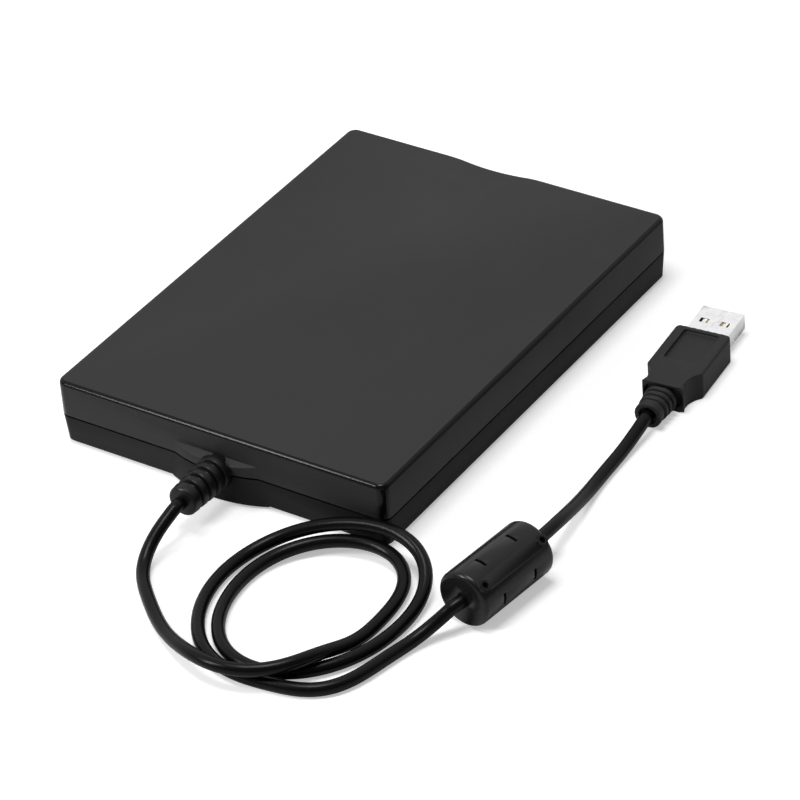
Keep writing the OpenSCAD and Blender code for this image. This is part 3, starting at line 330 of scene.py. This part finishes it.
def finishes():
    """Every finish of the drive by the name of its material slot, made at the first call."""
    if FINISHES:
        return FINISHES
    tone = colours()
    dark = (0.012, 0.012, 0.012)
    FINISHES.update({
        "cover_plastic": plastic(
            "Cover plastic", tone.cover, dull=0.56, cloud=0.012, specular=0.16, rim=RIM_SHADE_AND_GLOSS),
        "case_plastic": plastic(
            "Lower shell plastic", tone.case, dull=0.5, cloud=0.02, specular=0.1, rim=RIM_SHADE_AND_GLOSS),
        "dark_insulator": plastic("Dark insulator", dark, scale=600, dull=0.5),
        "rubber": plastic("Foot rubber", dark, scale=900, dull=0.8, cloud=0.15, bump=0.03),
        "bezel_plastic": plastic("Front panel plastic", (0.022, 0.022, 0.023), dull=0.45),
        "moving_plastic": plastic(
            "Moving part plastic", (0.03, 0.03, 0.031), scale=700, dull=0.38, bump=0.01),
        "chip_black": plastic("Chip resin", (0.016, 0.016, 0.017), scale=2200, dull=0.6, bump=0.01),
        "cord_rubber": plastic(
            "Cable sheath", tone.cord, scale=700, dull=0.26, cloud=0.12, bump=0.008, specular=0.12),
        "boot_rubber": plastic(
            "Strain relief", (0.006, 0.006, 0.006), scale=900, dull=0.36, cloud=0.1, bump=0.012,
            specular=0.2),
        "choke_plastic": plastic(
            "Choke skin", (0.008, 0.008, 0.0082), scale=1100, dull=0.26, cloud=0.06, bump=0.008,
            specular=0.22),
        "plug_plastic": plastic("Plug grip plastic", tone.plug, scale=1300, dull=0.5, cloud=0.05),
        "white_plastic": plastic(
            "White insulator", (0.8, 0.8, 0.79), scale=500, dull=0.4, cloud=0.03, bump=0.005),
        "ferrite": plastic("Ferrite", (0.03, 0.03, 0.032), scale=1600, dull=0.62, cloud=0.25, bump=0.04),
        "head_ceramic": plastic(
            "Head ceramic", (0.07, 0.045, 0.035), scale=400, dull=0.16, cloud=0.1, bump=0.002),
        "clear_green": plastic(
            "Clear lamp plastic", (0.18, 0.62, 0.28), scale=300, dull=0.12, cloud=0.05, bump=0.002),
        "flex_film": plastic(
            "Flat cable film", (0.62, 0.64, 0.68), scale=300, dull=0.25, cloud=0.06, bump=0.004),
        "copper": metal("Enamelled winding", (0.62, 0.2, 0.05), stretch=(1400.0, 1400.0, 200.0), dull=0.3),
        "bronze": metal("Sintered bronze", (0.55, 0.38, 0.14), stretch=(900.0, 900.0, 900.0), dull=0.42),
        "gold": metal("Gold plating", (0.8, 0.56, 0.2), stretch=(200.0, 900.0, 900.0), dull=0.22),
        "nickel": metal(
            "Nickel plating", (0.86, 0.86, 0.87), stretch=(400.0, 400.0, 400.0), depth=0.1, dull=0.24,
            bump=0.002),
        "ground_steel": metal("Ground steel", (0.72, 0.72, 0.73), stretch=(60.0, 60.0, 1200.0), dull=0.22),
        "plated_steel": metal(
            "Zinc plated sheet", (0.56, 0.57, 0.58), stretch=(700.0, 40.0, 700.0), dull=0.36),
        "screw_steel": metal(
            "Black screw steel", (0.12, 0.12, 0.125), stretch=(700.0, 700.0, 90.0), dull=0.34),
        "circuit_board": board_finish("Circuit board"),
    })
    return FINISHES


def dress(obj, key):
    obj.data.materials.clear()
    obj.data.materials.append(finishes()[key])
    return obj


# ---------------------------------------------------------------- modelling helpers

SHARP = radians(32)  # edges sharper than this are rounded or stay hard, and the rest are smoothed
SAME_POINT = 0.002 * MM
FLAT = radians(0.6)


def alone(obj):
    """Leaves object mode with only this object selected and active."""
    if bpy.context.object and bpy.context.object.mode != "OBJECT":
        bpy.ops.object.mode_set(mode="OBJECT")
    bpy.ops.object.select_all(action="DESELECT")
    obj.hide_viewport = False
    obj.select_set(True)
    bpy.context.view_layer.objects.active = obj
    return obj


def settle(obj):
    """Puts the object's place and turn into its mesh."""
    alone(obj)
    bpy.ops.object.transform_apply(location=True, rotation=True, scale=True)
    return obj


def applied(obj, kind, **settings):
    """Adds one modifier with its settings and applies it."""
    alone(obj)
    made = obj.modifiers.new(kind.title(), kind)
    for key, value in settings.items():
        setattr(made, key, value)
    bpy.ops.object.modifier_apply(modifier=made.name)
    return obj


def copied(name, part):
    """A joined-up copy of a CAD solid, without its own shading normals."""
    made = bpy.data.objects.new(name, frame["nodes"][part].data.copy())
    bpy.context.scene.collection.objects.link(made)
    alone(made)
    bpy.ops.object.mode_set(mode="EDIT")
    bpy.ops.mesh.select_all(action="SELECT")
    bpy.ops.mesh.remove_doubles(threshold=SAME_POINT)
    bpy.ops.mesh.dissolve_limited(angle_limit=FLAT)
    bpy.ops.object.mode_set(mode="OBJECT")
    if made.data.has_custom_normals:
        bpy.ops.mesh.customdata_custom_splitnormals_clear()
    return made


def softened(name, part, width, segments=2):
    """A copy of a CAD solid with its sharp edges rounded, standing for that solid."""
    made = copied(name, part)
    if width > 0:
        applied(made, "BEVEL", width=width, segments=segments, limit_method="ANGLE", angle_limit=SHARP,
                use_clamp_overlap=True)
    bpy.ops.object.shade_smooth_by_angle(angle=SHARP)
    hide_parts(part)
    return made


def lowered(obj, chosen, mode, depth):
    """Moves the chosen vertices or faces of a mesh down."""
    mesh = obj.data
    for item in (*mesh.vertices, *mesh.edges, *mesh.polygons):
        item.select = False
    for item in chosen:
        item.select = True
    alone(obj)
    bpy.ops.object.mode_set(mode="EDIT")
    bpy.ops.mesh.select_mode(type=mode)
    bpy.ops.transform.translate(value=(0, 0, -depth))
    bpy.ops.object.mode_set(mode="OBJECT")
    return obj


def faced_out():
    """Turns every face of the mesh in edit mode outwards."""
    bpy.ops.mesh.select_all(action="SELECT")
    bpy.ops.mesh.normals_make_consistent(inside=False)


def carried(obj, body, key):
    dress(obj, key)
    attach(obj, body)
    return obj


# ---------------------------------------------------------------- cable

def heading(angle):
    return Vector((cos(radians(angle)), sin(radians(angle)), 0))


CHOKE_DIR = heading(82.9)
CHOKE_A = Vector((84.05, -85.84, 7.75)) * MM
CHOKE_B = CHOKE_A + CHOKE_DIR * 27 * MM
PLUG_A = Vector((82.4, 7.0, 4.0)) * MM
PLUG_DIR = heading(95.5)

# the route in mm, as in the part's source
COIL_CENTRE = (47.4, -96.2, 1.8)
COIL_HALF, COIL_GROWTH = (18.2, 26.4), (5.8, 4.15)  # half its width and length, and what each turn adds
COIL_LEANS = Vector((3.5, -5.0, 2.3)), Vector((6.0, -7.1, 7.2))  # of the first and second turn, at the case
COIL_END, COIL_STEP = 645, 15
LEAD = [(0.5, -87, 9.6), (0.5, -90.6, 9.6), (0.2, -95.2, 8.1), (0, -99.4, 5.5), (0.4, -103.5, 3.2),
        (2, -107.3, 2), (5.5, -111.3, 1.8), (9.2, -114.9, 1.8), (15, -120.2, 1.8), (21.3, -124.8, 2.4),
        (28.5, -129, 3.8), (36, -132.2, 5.6), (43, -133.5, 6), (49, -132.3, 6), (53.2, -130, 6),
        (57, -127, 6), (60, -123.5, 6.1), (61.6, -119.7, 5.9), (62.6, -115.6, 4.9), (63.5, -111.6, 3.5),
        (64.5, -107.6, 2.3)]
LINK = [(66.5, -125.9, 1.8), (70.3, -122, 1.8), (72.8, -116.8, 1.8), (74.6, -110.5, 1.8),
        (76.3, -103.8, 1.8), (77.8, -98.8, 2.1), (79.2, -95.2, 3.2), (80.7, -92.3, 4.8), (82.4, -89.8, 6.7)]
TAIL = [(87.8, -53.4, 7.7), (87.7, -49.4, 7.2), (87.2, -44.7, 6.4), (86.5, -39, 5.1), (85.3, -32.4, 3.4),
        (84.3, -25.6, 2.2), (83.6, -18.6, 1.8), (83.2, -11, 1.8), (82.9, -3.5, 2.5)]
OUT_OF_CHOKE, INTO_PLUG = 2, 1.2

ROUTE_STEP = 3 * MM
EASING_ROUNDS = 40
EASING_PULLS = (0.5, -0.53)  # smooths, and then pushes back so that the loops don't shrink
CURVE_CUTS = 40
CHOKE_CUTS = 9


def in_mm(rows):
    return [Vector(row) * MM for row in rows]


def coil_point(turn):
    """A point of the wound part; at the case the turns lean up against its wall."""
    t = radians(turn)
    second = (turn - 90) / 360
    lean = max(0.0, sin(t)) ** 2
    half_x, half_y = (half + growth * turn / 360 for half, growth in zip(COIL_HALF, COIL_GROWTH))
    x, y, z = COIL_CENTRE
    flat = Vector((x + half_x * cos(t), y + half_y * sin(t), z))
    return (flat + (COIL_LEANS[0] * (1 - second) + COIL_LEANS[1] * second) * lean) * MM


def resampled(points, step):
    """Points at an even step along the smooth curve through the given ones."""
    fine = []
    for i in range(len(points) - 1):
        a, b, c = points[max(i - 1, 0)], points[i], points[i + 1]
        d = points[min(i + 2, len(points) - 1)]
        for k in range(CURVE_CUTS):
            t = k / CURVE_CUTS
            square, cube = 2 * a - 5 * b + 4 * c - d, 3 * b - a - 3 * c + d
            fine.append((2 * b + (c - a) * t + square * t * t + cube * t ** 3) / 2)
    fine.append(points[-1])
    gone = [0.0]
    for a, b in zip(fine, fine[1:]):
        gone.append(gone[-1] + (b - a).length)
    count = round(gone[-1] / step)
    made, at = [], 0
    for i in range(count + 1):
        want = gone[-1] * i / count
        while at < len(fine) - 2 and gone[at + 1] < want:
            at += 1
        made.append(fine[at].lerp(fine[at + 1], (want - gone[at]) / (gone[at + 1] - gone[at])))
    return made


def eased(points):
    """The same run without its short wiggles, its ends held and no part of it below the floor."""
    run = resampled(points, ROUTE_STEP)
    lowest = sizes().cord_diameter / 2
    for _ in range(EASING_ROUNDS):
        for pull in EASING_PULLS:
            moved = [b + ((a + c) / 2 - b) * pull for a, b, c in zip(run, run[1:], run[2:])]
            run[2:-2] = moved[1:-1]
        for point in run[2:-2]:
            point.z = max(point.z, lowest)
    return run


def cable_route():
    """Every point that the cable follows, from the case to the plug."""
    d = sizes().cord_diameter
    turns = [coil_point(t) for t in range(0, COIL_END + 1, COIL_STEP)]
    level = Vector((1, 1, 0))
    into = ((turns[1] - turns[0]) * level).normalized()
    out = ((turns[-1] - turns[-2]) * level).normalized()
    first = (in_mm(LEAD) + [turns[0] - into * 2 * d, turns[0] - into * d] + turns
             + [turns[-1] + out * d, turns[-1] + out * 2 * d] + in_mm(LINK) + [CHOKE_A])
    inside = [CHOKE_A.lerp(CHOKE_B, k / CHOKE_CUTS) for k in range(1, CHOKE_CUTS)]
    last = ([CHOKE_B, CHOKE_B + CHOKE_DIR * OUT_OF_CHOKE * MM] + in_mm(TAIL)
            + [PLUG_A - PLUG_DIR * d, PLUG_A + PLUG_DIR * INTO_PLUG * MM])
    return eased(first) + inside + eased(last)


class DRIVE_OT_cable(bpy.types.Operator):
    """Round cable from the strain relief, through its coil and choke, to the plug"""
    bl_idname = "drive.cable"
    bl_label = "Cable"

    def execute(self, context):
        route = cable_route()
        data = bpy.data.curves.new("cable_sheath", "CURVE")
        data.dimensions = "3D"
        data.resolution_u = 8
        data.bevel_depth = sizes().cord_diameter / 2
        data.bevel_resolution = 5
        data.use_fill_caps = True
        line = data.splines.new("BEZIER")
        line.bezier_points.add(len(route) - 1)
        for point, at in zip(line.bezier_points, route):
            point.co = at
            point.handle_left_type = point.handle_right_type = "AUTO"
        made = bpy.data.objects.new("cable_sheath", data)
        context.scene.collection.objects.link(made)
        carried(made, "case", "cord_rubber")
        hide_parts("cord_lead", "cord_coil", "cord_link", "choke_cord", "cord_tail")
        return {"FINISHED"}


GRIP_VOXEL = 0.2 * MM
RADIUS_PER_ROUND = 0.1 * MM  # what one round of smoothing gives an edge
PANEL_SUNK = (0.3 * MM, 0.8 * MM)  # between these depths under the grip's top lies its panel in the CAD
PANEL_START, PANEL_DEEPER = 15 * MM, 0.35 * MM
REAR_AT, REAR_REACH, REAR_ACROSS = 9.8 * MM, 2.4 * MM, 5.0 * MM
REAR_ROUNDS = 70
GRIP_KEPT = 0.3  # share of the remeshed faces


def in_plug(co):
    """A point in the plug's own axes: along it, across it and up."""
    away = co - PLUG_A
    return Vector((away.dot(PLUG_DIR), away.y * PLUG_DIR.x - away.x * PLUG_DIR.y, away.z))


def moulded_grip():
    """The plug's soft grip: a deeper sunk panel, every edge rounded, and the rear corners most of all."""
    grip = copied("plug_grip_moulding", "plug_grip")
    top = max(point.co.z for point in grip.data.vertices)
    panel = []
    for face in grip.data.polygons:
        at = in_plug(face.center)
        sunk = top - at.z - PLUG_A.z
        if face.normal.z > 0.99 and PANEL_SUNK[0] < sunk < PANEL_SUNK[1] and at.x > PANEL_START:
            panel.append(face)
    lowered(grip, panel, "FACE", PANEL_DEEPER)
    applied(grip, "REMESH", mode="VOXEL", voxel_size=GRIP_VOXEL, use_smooth_shade=True)
    applied(grip, "SMOOTH", factor=0.5, iterations=round(sizes().grip_softness / RADIUS_PER_ROUND))
    rear = grip.vertex_groups.new(name="rear_corners")
    for point in grip.data.vertices:
        at = in_plug(point.co)
        if abs(at.x - REAR_AT) < REAR_REACH and abs(at.y) > REAR_ACROSS:
            rear.add([point.index], 1.0, "REPLACE")
    applied(grip, "SMOOTH", factor=0.5, iterations=REAR_ROUNDS, vertex_group="rear_corners")
    applied(grip, "DECIMATE", ratio=GRIP_KEPT)
    bpy.ops.object.shade_smooth()
    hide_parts("plug_grip")
    return grip


class DRIVE_OT_cable_ends(bpy.types.Operator):
    """Strain relief, choke and plug"""
    bl_idname = "drive.cable_ends"
    bl_label = "Cable ends"

    def execute(self, context):
        boot = softened("strain_relief", "cable_boot", 0.15 * MM)
        carried(boot, "case", "boot_rubber")
        choke = carried(softened("choke_skin", "choke_cover", 0.12 * MM), "case", "choke_plastic")
        grip = carried(moulded_grip(), "case", "plug_plastic")
        shell = carried(softened("plug_shell_sheet", "plug_shell", 0.08 * MM), "case", "nickel")
        return {"FINISHED"}


# ---------------------------------------------------------------- case and front

CASE_MIDDLE = Vector((0, 1.15, 10.35)) * MM
CASE_HALF = Vector((51.5, 70.75)) * MM
CORNER_RADIUS = 3 * MM
SEAM = 9.6 * MM
GAP, DEEPER_GAP = 0.3 * MM, 0.2 * MM  # the shadow gap under the seam in the CAD, and what is added to it
LEDGE_BAND = 0.05 * MM  # takes in every vertex of the ledge's rounded edge
ROUND_TOP = 2.2 * MM
ROUND_SLOPE, WALL_SLOPE = (0.2, 0.985), 0.5  # how far up the normals of a rounded edge and of a wall point
FULL_CORNER_SHADE = 0.45  # how far round its corner, in corner radii, a point has the whole painted shade and gloss


def corner_share(co):
    """The share of painted shade and gloss of a point from its upright corner: none on the walls, and 1
    round the corner.
    """
    away = co - CASE_MIDDLE
    inward = min(abs(away.x) - CASE_HALF.x, abs(away.y) - CASE_HALF.y) + CORNER_RADIUS
    return min(1.0, max(0.0, inward / CORNER_RADIUS / FULL_CORNER_SHADE))


def shade_painted_edges(shell, round_top=0.0):
    """Marks the round top, the upright corners and the shadow gap of a shell in its corner attribute, which
    the material paints dark and glossy: painted shade in the gap and round the corners, a painted dark line
    along the round top.
    """
    mesh = shell.data
    rim = mesh.attributes.new("rim", "FLOAT", "CORNER").data
    top = max(point.co.z for point in mesh.vertices)
    for face in mesh.polygons:
        wall = abs(face.normal.z) < WALL_SLOPE and face.normal.dot(face.center - CASE_MIDDLE) > 0
        edge = ROUND_SLOPE[0] < face.normal.z < ROUND_SLOPE[1] and face.center.z > top - round_top
        gap = SEAM - 2 * GAP < face.center.z < SEAM + 0.02 * MM
        for loop, number in zip(face.loop_indices, face.vertices):
            share = corner_share(mesh.vertices[number].co) if wall else 0.0
            # painted shade: 1 on the round top and in the gap, and the corner share on the walls
            rim[loop].value = 1.0 if edge or gap else share
    return shell


def deepened(shell):
    """Lowers the ledge of the shadow gap under the seam."""
    ledge = [point for point in shell.data.vertices if abs(point.co.z - SEAM + GAP) < LEDGE_BAND]
    return lowered(shell, ledge, "VERT", DEEPER_GAP)


class DRIVE_OT_case(bpy.types.Operator):
    """Top cover, bottom case, feet and case screws"""
    bl_idname = "drive.case"
    bl_label = "Case"

    def execute(self, context):
        edge = sizes().shell_softness
        # both shells get painted shade on their round top, upright corners and seam gap
        carried(shade_painted_edges(softened("cover_shell", "top_cover", edge), ROUND_TOP), "case", "cover_plastic")
        carried(shade_painted_edges(deepened(softened("lower_shell", "bottom_case", edge))), "case", "case_plastic")
        carried(softened("feet", "rubber_feet", 0.2 * MM), "case", "rubber")
        carried(softened("case_fixings", "case_screws", 0.1 * MM), "case", "screw_steel")
        return {"FINISHED"}


class DRIVE_OT_front(bpy.types.Operator):
    """Front panel, slot door, eject button and lamp"""
    bl_idname = "drive.front"
    bl_label = "Front"

    def execute(self, context):
        carried(softened("front_panel", "front_bezel", 0.15 * MM), "case", "bezel_plastic")
        carried(softened("slot_flap", "slot_door", 0.1 * MM), "door", "bezel_plastic")
        carried(softened("eject_key", "eject_button", 0.3 * MM, 3), "eject", "bezel_plastic")
        carried(softened("lamp_pipe", "light_pipe", 0.1 * MM), "case", "clear_green")
        return {"FINISHED"}


# ---------------------------------------------------------------- drive

PIN_WIDTH, PIN_THICKNESS = 0.32 * MM, 0.15 * MM
PIN_RUNS = (0.45 * MM, 0.3 * MM, 0.4 * MM)  # out of the chip, down to the board, and along it
PIN_ROOT = 0.2 * MM  # how far the pin starts inside the chip
PIN_RISE = 0.45  # where it leaves the chip, as a share of the chip's height
ROW_MARGIN = 1.2 * MM
FLAT_CHIP, SQUARE_CHIP = 1.25 * MM, 0.5 * MM  # the most height, and the most difference of its sides
SCREW_THREAD = {"inset": 0.06 * MM, "thick": 0.2 * MM, "start": 5.6 * MM, "length": 38 * MM}


def islands(obj):
    """The low and high corners of each separate solid in a piece, in a settled order."""
    mesh = obj.data
    group = list(range(len(mesh.vertices)))

    def root(i):
        while group[i] != i:
            group[i] = group[group[i]]
            i = group[i]
        return i

    first = {}
    for point in mesh.vertices:
        place = tuple(round(c / (0.01 * MM)) for c in point.co)
        group[root(point.index)] = root(first.setdefault(place, point.index))
    for edge in mesh.edges:
        group[root(edge.vertices[0])] = root(edge.vertices[1])
    boxes = {}
    for point in mesh.vertices:
        low, high = boxes.setdefault(root(point.index), (point.co.copy(), point.co.copy()))
        for axis in range(3):
            low[axis] = min(low[axis], point.co[axis])
            high[axis] = max(high[axis], point.co[axis])
    return sorted(boxes.values(), key=lambda box: tuple(box[0]))


def one_pin(height):
    """A gull-wing pin at the origin: out of the chip's side along x, down, and flat on the board."""
    bpy.ops.mesh.primitive_plane_add(size=1, location=(-PIN_ROOT, 0, height), rotation=(0, pi / 2, 0))
    pin = bpy.context.object
    pin.scale = (PIN_THICKNESS, PIN_WIDTH, 1)
    settle(pin)
    bpy.ops.object.mode_set(mode="EDIT")
    bpy.ops.mesh.select_all(action="SELECT")
    out, slope, foot = PIN_RUNS
    for step in ((out, 0, 0), (slope, 0, PIN_THICKNESS / 2 - height), (foot, 0, 0)):
        bpy.ops.mesh.extrude_region_move(TRANSFORM_OT_translate={"value": step})
    faced_out()
    bpy.ops.mesh.bevel(offset=0.02 * MM, segments=1)
    bpy.ops.object.mode_set(mode="OBJECT")
    return pin


def pin_row(name, height, middle, turn, length):
    """A row of pins along one side of a chip."""
    pitch = sizes().pin_pitch
    count = max(2, int((length - ROW_MARGIN) / pitch) + 1)
    row = one_pin(height)
    row.name = name
    applied(row, "ARRAY", count=count, use_relative_offset=False, use_constant_offset=True,
            constant_offset_displace=(0, pitch, 0))
    run = Matrix.Translation((0, -(count - 1) * pitch / 2, 0))
    row.matrix_world = Matrix.Translation(middle) @ Matrix.Rotation(turn, 4, "Z") @ run
    settle(row)
    bpy.ops.object.shade_smooth_by_angle(angle=radians(30))
    return carried(row, "case", "nickel")


def chip_pins(part):
    """Pins on the long sides of every flat chip of a board, and on all four where the chip is square."""
    flat = [box for box in islands(frame["nodes"][part]) if box[1].z - box[0].z < FLAT_CHIP]
    for number, (low, high) in enumerate(flat):
        middle, span = (low + high) / 2, high - low
        square = abs(span.x - span.y) < SQUARE_CHIP
        for turn, out_x, out_y in ((0, 1, 0), (pi, -1, 0), (pi / 2, 0, 1), (-pi / 2, 0, -1)):
            if square or (span.y > span.x) == bool(out_x):
                side = Vector((middle.x + out_x * span.x / 2, middle.y + out_y * span.y / 2, low.z))
                length = span.y if out_x else span.x
                name = f"{part}_pins_{number}_{round(degrees(turn)) % 360}"
                pin_row(name, span.z * PIN_RISE, side, turn, length)


def wound_ridge(name, radius, thick, pitch, length):
    """A ridge wound round the upright axis at the origin, left-handed as the screw's nut runs."""
    sides = 8
    bpy.ops.mesh.primitive_circle_add(
        vertices=sides, radius=thick / 2, location=(radius, 0, 0), rotation=(pi / 2, 0, 0))
    ridge = bpy.context.object
    ridge.name = name
    settle(ridge)
    applied(ridge, "SCREW", axis="Z", angle=-2 * pi, screw_offset=pitch,
            iterations=max(1, int(length / pitch)), steps=40, render_steps=40)
    bpy.ops.object.mode_set(mode="EDIT")
    bpy.ops.mesh.select_all(action="SELECT")
    bpy.ops.mesh.fill_holes(sides=sides)
    faced_out()
    bpy.ops.object.mode_set(mode="OBJECT")
    return ridge


class DRIVE_OT_inner_detail(bpy.types.Operator):
    """Thread of the lead screw and the pins of the chips"""
    bl_idname = "drive.inner_detail"
    bl_label = "Inner detail"

    def execute(self, context):
        low, high = islands(frame["nodes"]["lead_screw"])[0]
        axis = (low + high) / 2
        ridge = wound_ridge("screw_thread", (high.x - low.x) / 2 - SCREW_THREAD["inset"],
                            SCREW_THREAD["thick"], sizes().thread_pitch, SCREW_THREAD["length"])
        start = Matrix.Translation((axis.x, low.y + SCREW_THREAD["start"], axis.z))
        ridge.matrix_world = start @ Matrix.Rotation(-pi / 2, 4, "X")
        settle(ridge)
        bpy.ops.object.shade_smooth_by_angle(angle=radians(50))
        carried(ridge, "screw", "ground_steel")
        chip_pins("logic_chips")
        chip_pins("usb_chips")
        return {"FINISHED"}


class DRIVE_OT_mechanism(bpy.types.Operator):
    """Finishes on the drive's own solids"""
    bl_idname = "drive.mechanism"
    bl_label = "Mechanism"

    def execute(self, context):
        slots = {row["node"]: row["material_slot"] for row in frame["record"]["subparts"]}
        slots["plug_tongue"] = "dark_insulator"
        for name, solid in frame["nodes"].items():
            if not solid.hide_render:
                dress(solid, slots[name])
        return {"FINISHED"}


# ---------------------------------------------------------------- stage

FLOOR_GREY = 0.86
FLOOR_LIFT = (0.42, 1.0)  # what the camera sees added to the floor, near the drive and far from it
NEAR_FAR = (0.35, 1.3)
FILL = 0.18
SWEEP_WAY = (-0.477, 0.666, 0.574)  # away from the camera and up, where the white sweep of the studio stands
SWEEP_EDGE = (-0.1, 0.75)
SWEEP_STRENGTH = (0.15, 1.0)
LAMPS = {  # place, aim, size in metres, power in watts
    "overhead": ((0.0, -0.1, 1.1), (0, 0, 0), (0.45, 0.45), 7.0),
    "rear_left": ((-0.38, -0.57, 0.48), (0.02, -0.07, 0.015), (0.16, 0.4), 3.7),
}
EYE = Vector((0.54925, -0.75422, 0.63951))
EYE_AZIMUTH, EYE_ELEVATION, EYE_ROLL = radians(35.623), radians(35.011), radians(-4.722)
EYE_LENS = 189.03
WHITE = (1, 1, 1, 1)


def add_floor():
    bpy.ops.mesh.primitive_plane_add(size=6, location=(0, 0, 0))
    floor = bpy.context.object
    floor.name = "floor"
    paper, tree, shader = material("Pale floor")
    reach = node(tree, "ShaderNodeVectorMath", (-700, -400), {0: object_place(tree)}, operation="LENGTH")
    fade = mapped(tree, reach.outputs["Value"], *NEAR_FAR, (-400, -400), to=FLOOR_LIFT,
                  interpolation_type="SMOOTHSTEP")
    seen = node(tree, "ShaderNodeLightPath", (-500, -200)).outputs["Is Camera Ray"]
    feed(tree, shader, {
        "Base Color": (FLOOR_GREY, FLOOR_GREY, FLOOR_GREY, 1), "Roughness": 0.9, "Specular IOR Level": 0.1,
        "Emission Color": WHITE, "Emission Strength": maths(tree, "MULTIPLY", (50, -200), seen, fade)})
    floor.data.materials.append(paper)


def add_world(scene):
    """Soft fill, white to the camera, and a white sweep on one side that glossy and clear pieces show."""
    scene.world = bpy.data.worlds.new("Studio")
    scene.world.use_nodes = True
    sky = scene.world.node_tree
    sky.nodes.clear()
    way = node(sky, "ShaderNodeTexCoord", (-900, -300)).outputs["Generated"]
    facing = node(sky, "ShaderNodeVectorMath", (-700, -300), {0: way, 1: SWEEP_WAY}, operation="DOT_PRODUCT")
    sweep = mapped(sky, facing.outputs["Value"], *SWEEP_EDGE, (-400, -300), to=SWEEP_STRENGTH,
                   interpolation_type="SMOOTHSTEP")
    rays = node(sky, "ShaderNodeLightPath", (-600, 300)).outputs
    white = maths(sky, "MAXIMUM", (-180, -300), sweep, rays["Is Camera Ray"])
    shown = maths(sky, "MAXIMUM", (-250, 200), rays["Is Camera Ray"], rays["Is Glossy Ray"])
    shown = maths(sky, "MAXIMUM", (-100, 200), shown, rays["Is Transmission Ray"])
    fill = node(sky, "ShaderNodeBackground", (0, 100), {"Color": WHITE, "Strength": FILL})
    backdrop = node(sky, "ShaderNodeBackground", (0, -100), {"Color": WHITE, "Strength": white})
    pick = node(sky, "ShaderNodeMixShader", (250, 0), {"Fac": shown, 1: fill.outputs[0],
                                                       2: backdrop.outputs[0]})
    node(sky, "ShaderNodeOutputWorld", (500, 0), {"Surface": pick.outputs[0]})


def add_lamp(name, at, target, size, power):
    bpy.ops.object.light_add(type="AREA", location=at)
    lamp = bpy.context.object
    lamp.name = name
    lamp.data.energy = power
    lamp.data.shape = "RECTANGLE"
    lamp.data.size, lamp.data.size_y = size
    lamp.rotation_euler = (Vector(target) - Vector(at)).to_track_quat("-Z", "Y").to_euler()


def add_camera(scene):
    view = bpy.data.cameras.new("photo_angle")
    eye = bpy.data.objects.new("photo_angle", view)
    scene.collection.objects.link(eye)
    az, el, roll = EYE_AZIMUTH, EYE_ELEVATION, EYE_ROLL
    back = Vector((sin(az) * cos(el), -cos(az) * cos(el), sin(el)))
    right = Vector((cos(az), sin(az), 0))
    up = back.cross(right)
    across = right * cos(roll) + up * sin(roll)
    upward = up * cos(roll) - right * sin(roll)
    turn = Matrix((across, upward, back)).transposed()
    eye.matrix_world = Matrix.Translation(EYE) @ turn.to_4x4()
    view.sensor_width = 36
    view.lens = EYE_LENS
    view.clip_start = 0.05
    view.clip_end = 20
    scene.camera = eye


class DRIVE_OT_stage(bpy.types.Operator):
    """Pale floor, soft light and the camera at the photograph's angle"""
    bl_idname = "drive.stage"
    bl_label = "Stage"

    def execute(self, context):
        context.scene.view_settings.view_transform = "Standard"
        add_floor()
        add_world(context.scene)
        for name, settings in LAMPS.items():
            add_lamp(name, *settings)
        add_camera(context.scene)
        return {"FINISHED"}


# ---------------------------------------------------------------- panel and run

class DRIVE_PT_panel(bpy.types.Panel):
    bl_label = "Disk drive"
    bl_idname = "DRIVE_PT_panel"
    bl_space_type = "VIEW_3D"
    bl_region_type = "UI"
    bl_category = "Disk drive"

    def draw(self, context):
        column = self.layout.column()
        for owner in (context.scene.drive_sizes, context.scene.drive_colours):
            for key in owner.__annotations__:
                column.prop(owner, key)
        for step in STEPS:
            column.operator(step.bl_idname)


STEPS = (DRIVE_OT_stage, DRIVE_OT_cable, DRIVE_OT_cable_ends, DRIVE_OT_case, DRIVE_OT_front,
         DRIVE_OT_mechanism, DRIVE_OT_inner_detail)
CLASSES = (DRIVE_PG_sizes, DRIVE_PG_colours, *STEPS, DRIVE_PT_panel)


def register():
    for cls in CLASSES:
        bpy.utils.register_class(cls)
    bpy.types.Scene.drive_sizes = bpy.props.PointerProperty(type=DRIVE_PG_sizes)
    bpy.types.Scene.drive_colours = bpy.props.PointerProperty(type=DRIVE_PG_colours)


def unregister():
    del bpy.types.Scene.drive_colours
    del bpy.types.Scene.drive_sizes
    for cls in reversed(CLASSES):
        bpy.utils.unregister_class(cls)


def main():
    register()
    bpy.ops.drive.stage()
    bpy.ops.drive.cable()
    bpy.ops.drive.cable_ends()
    bpy.ops.drive.case()
    bpy.ops.drive.front()
    bpy.ops.drive.mechanism()
    bpy.ops.drive.inner_detail()


if __name__ == "__main__":
    main()
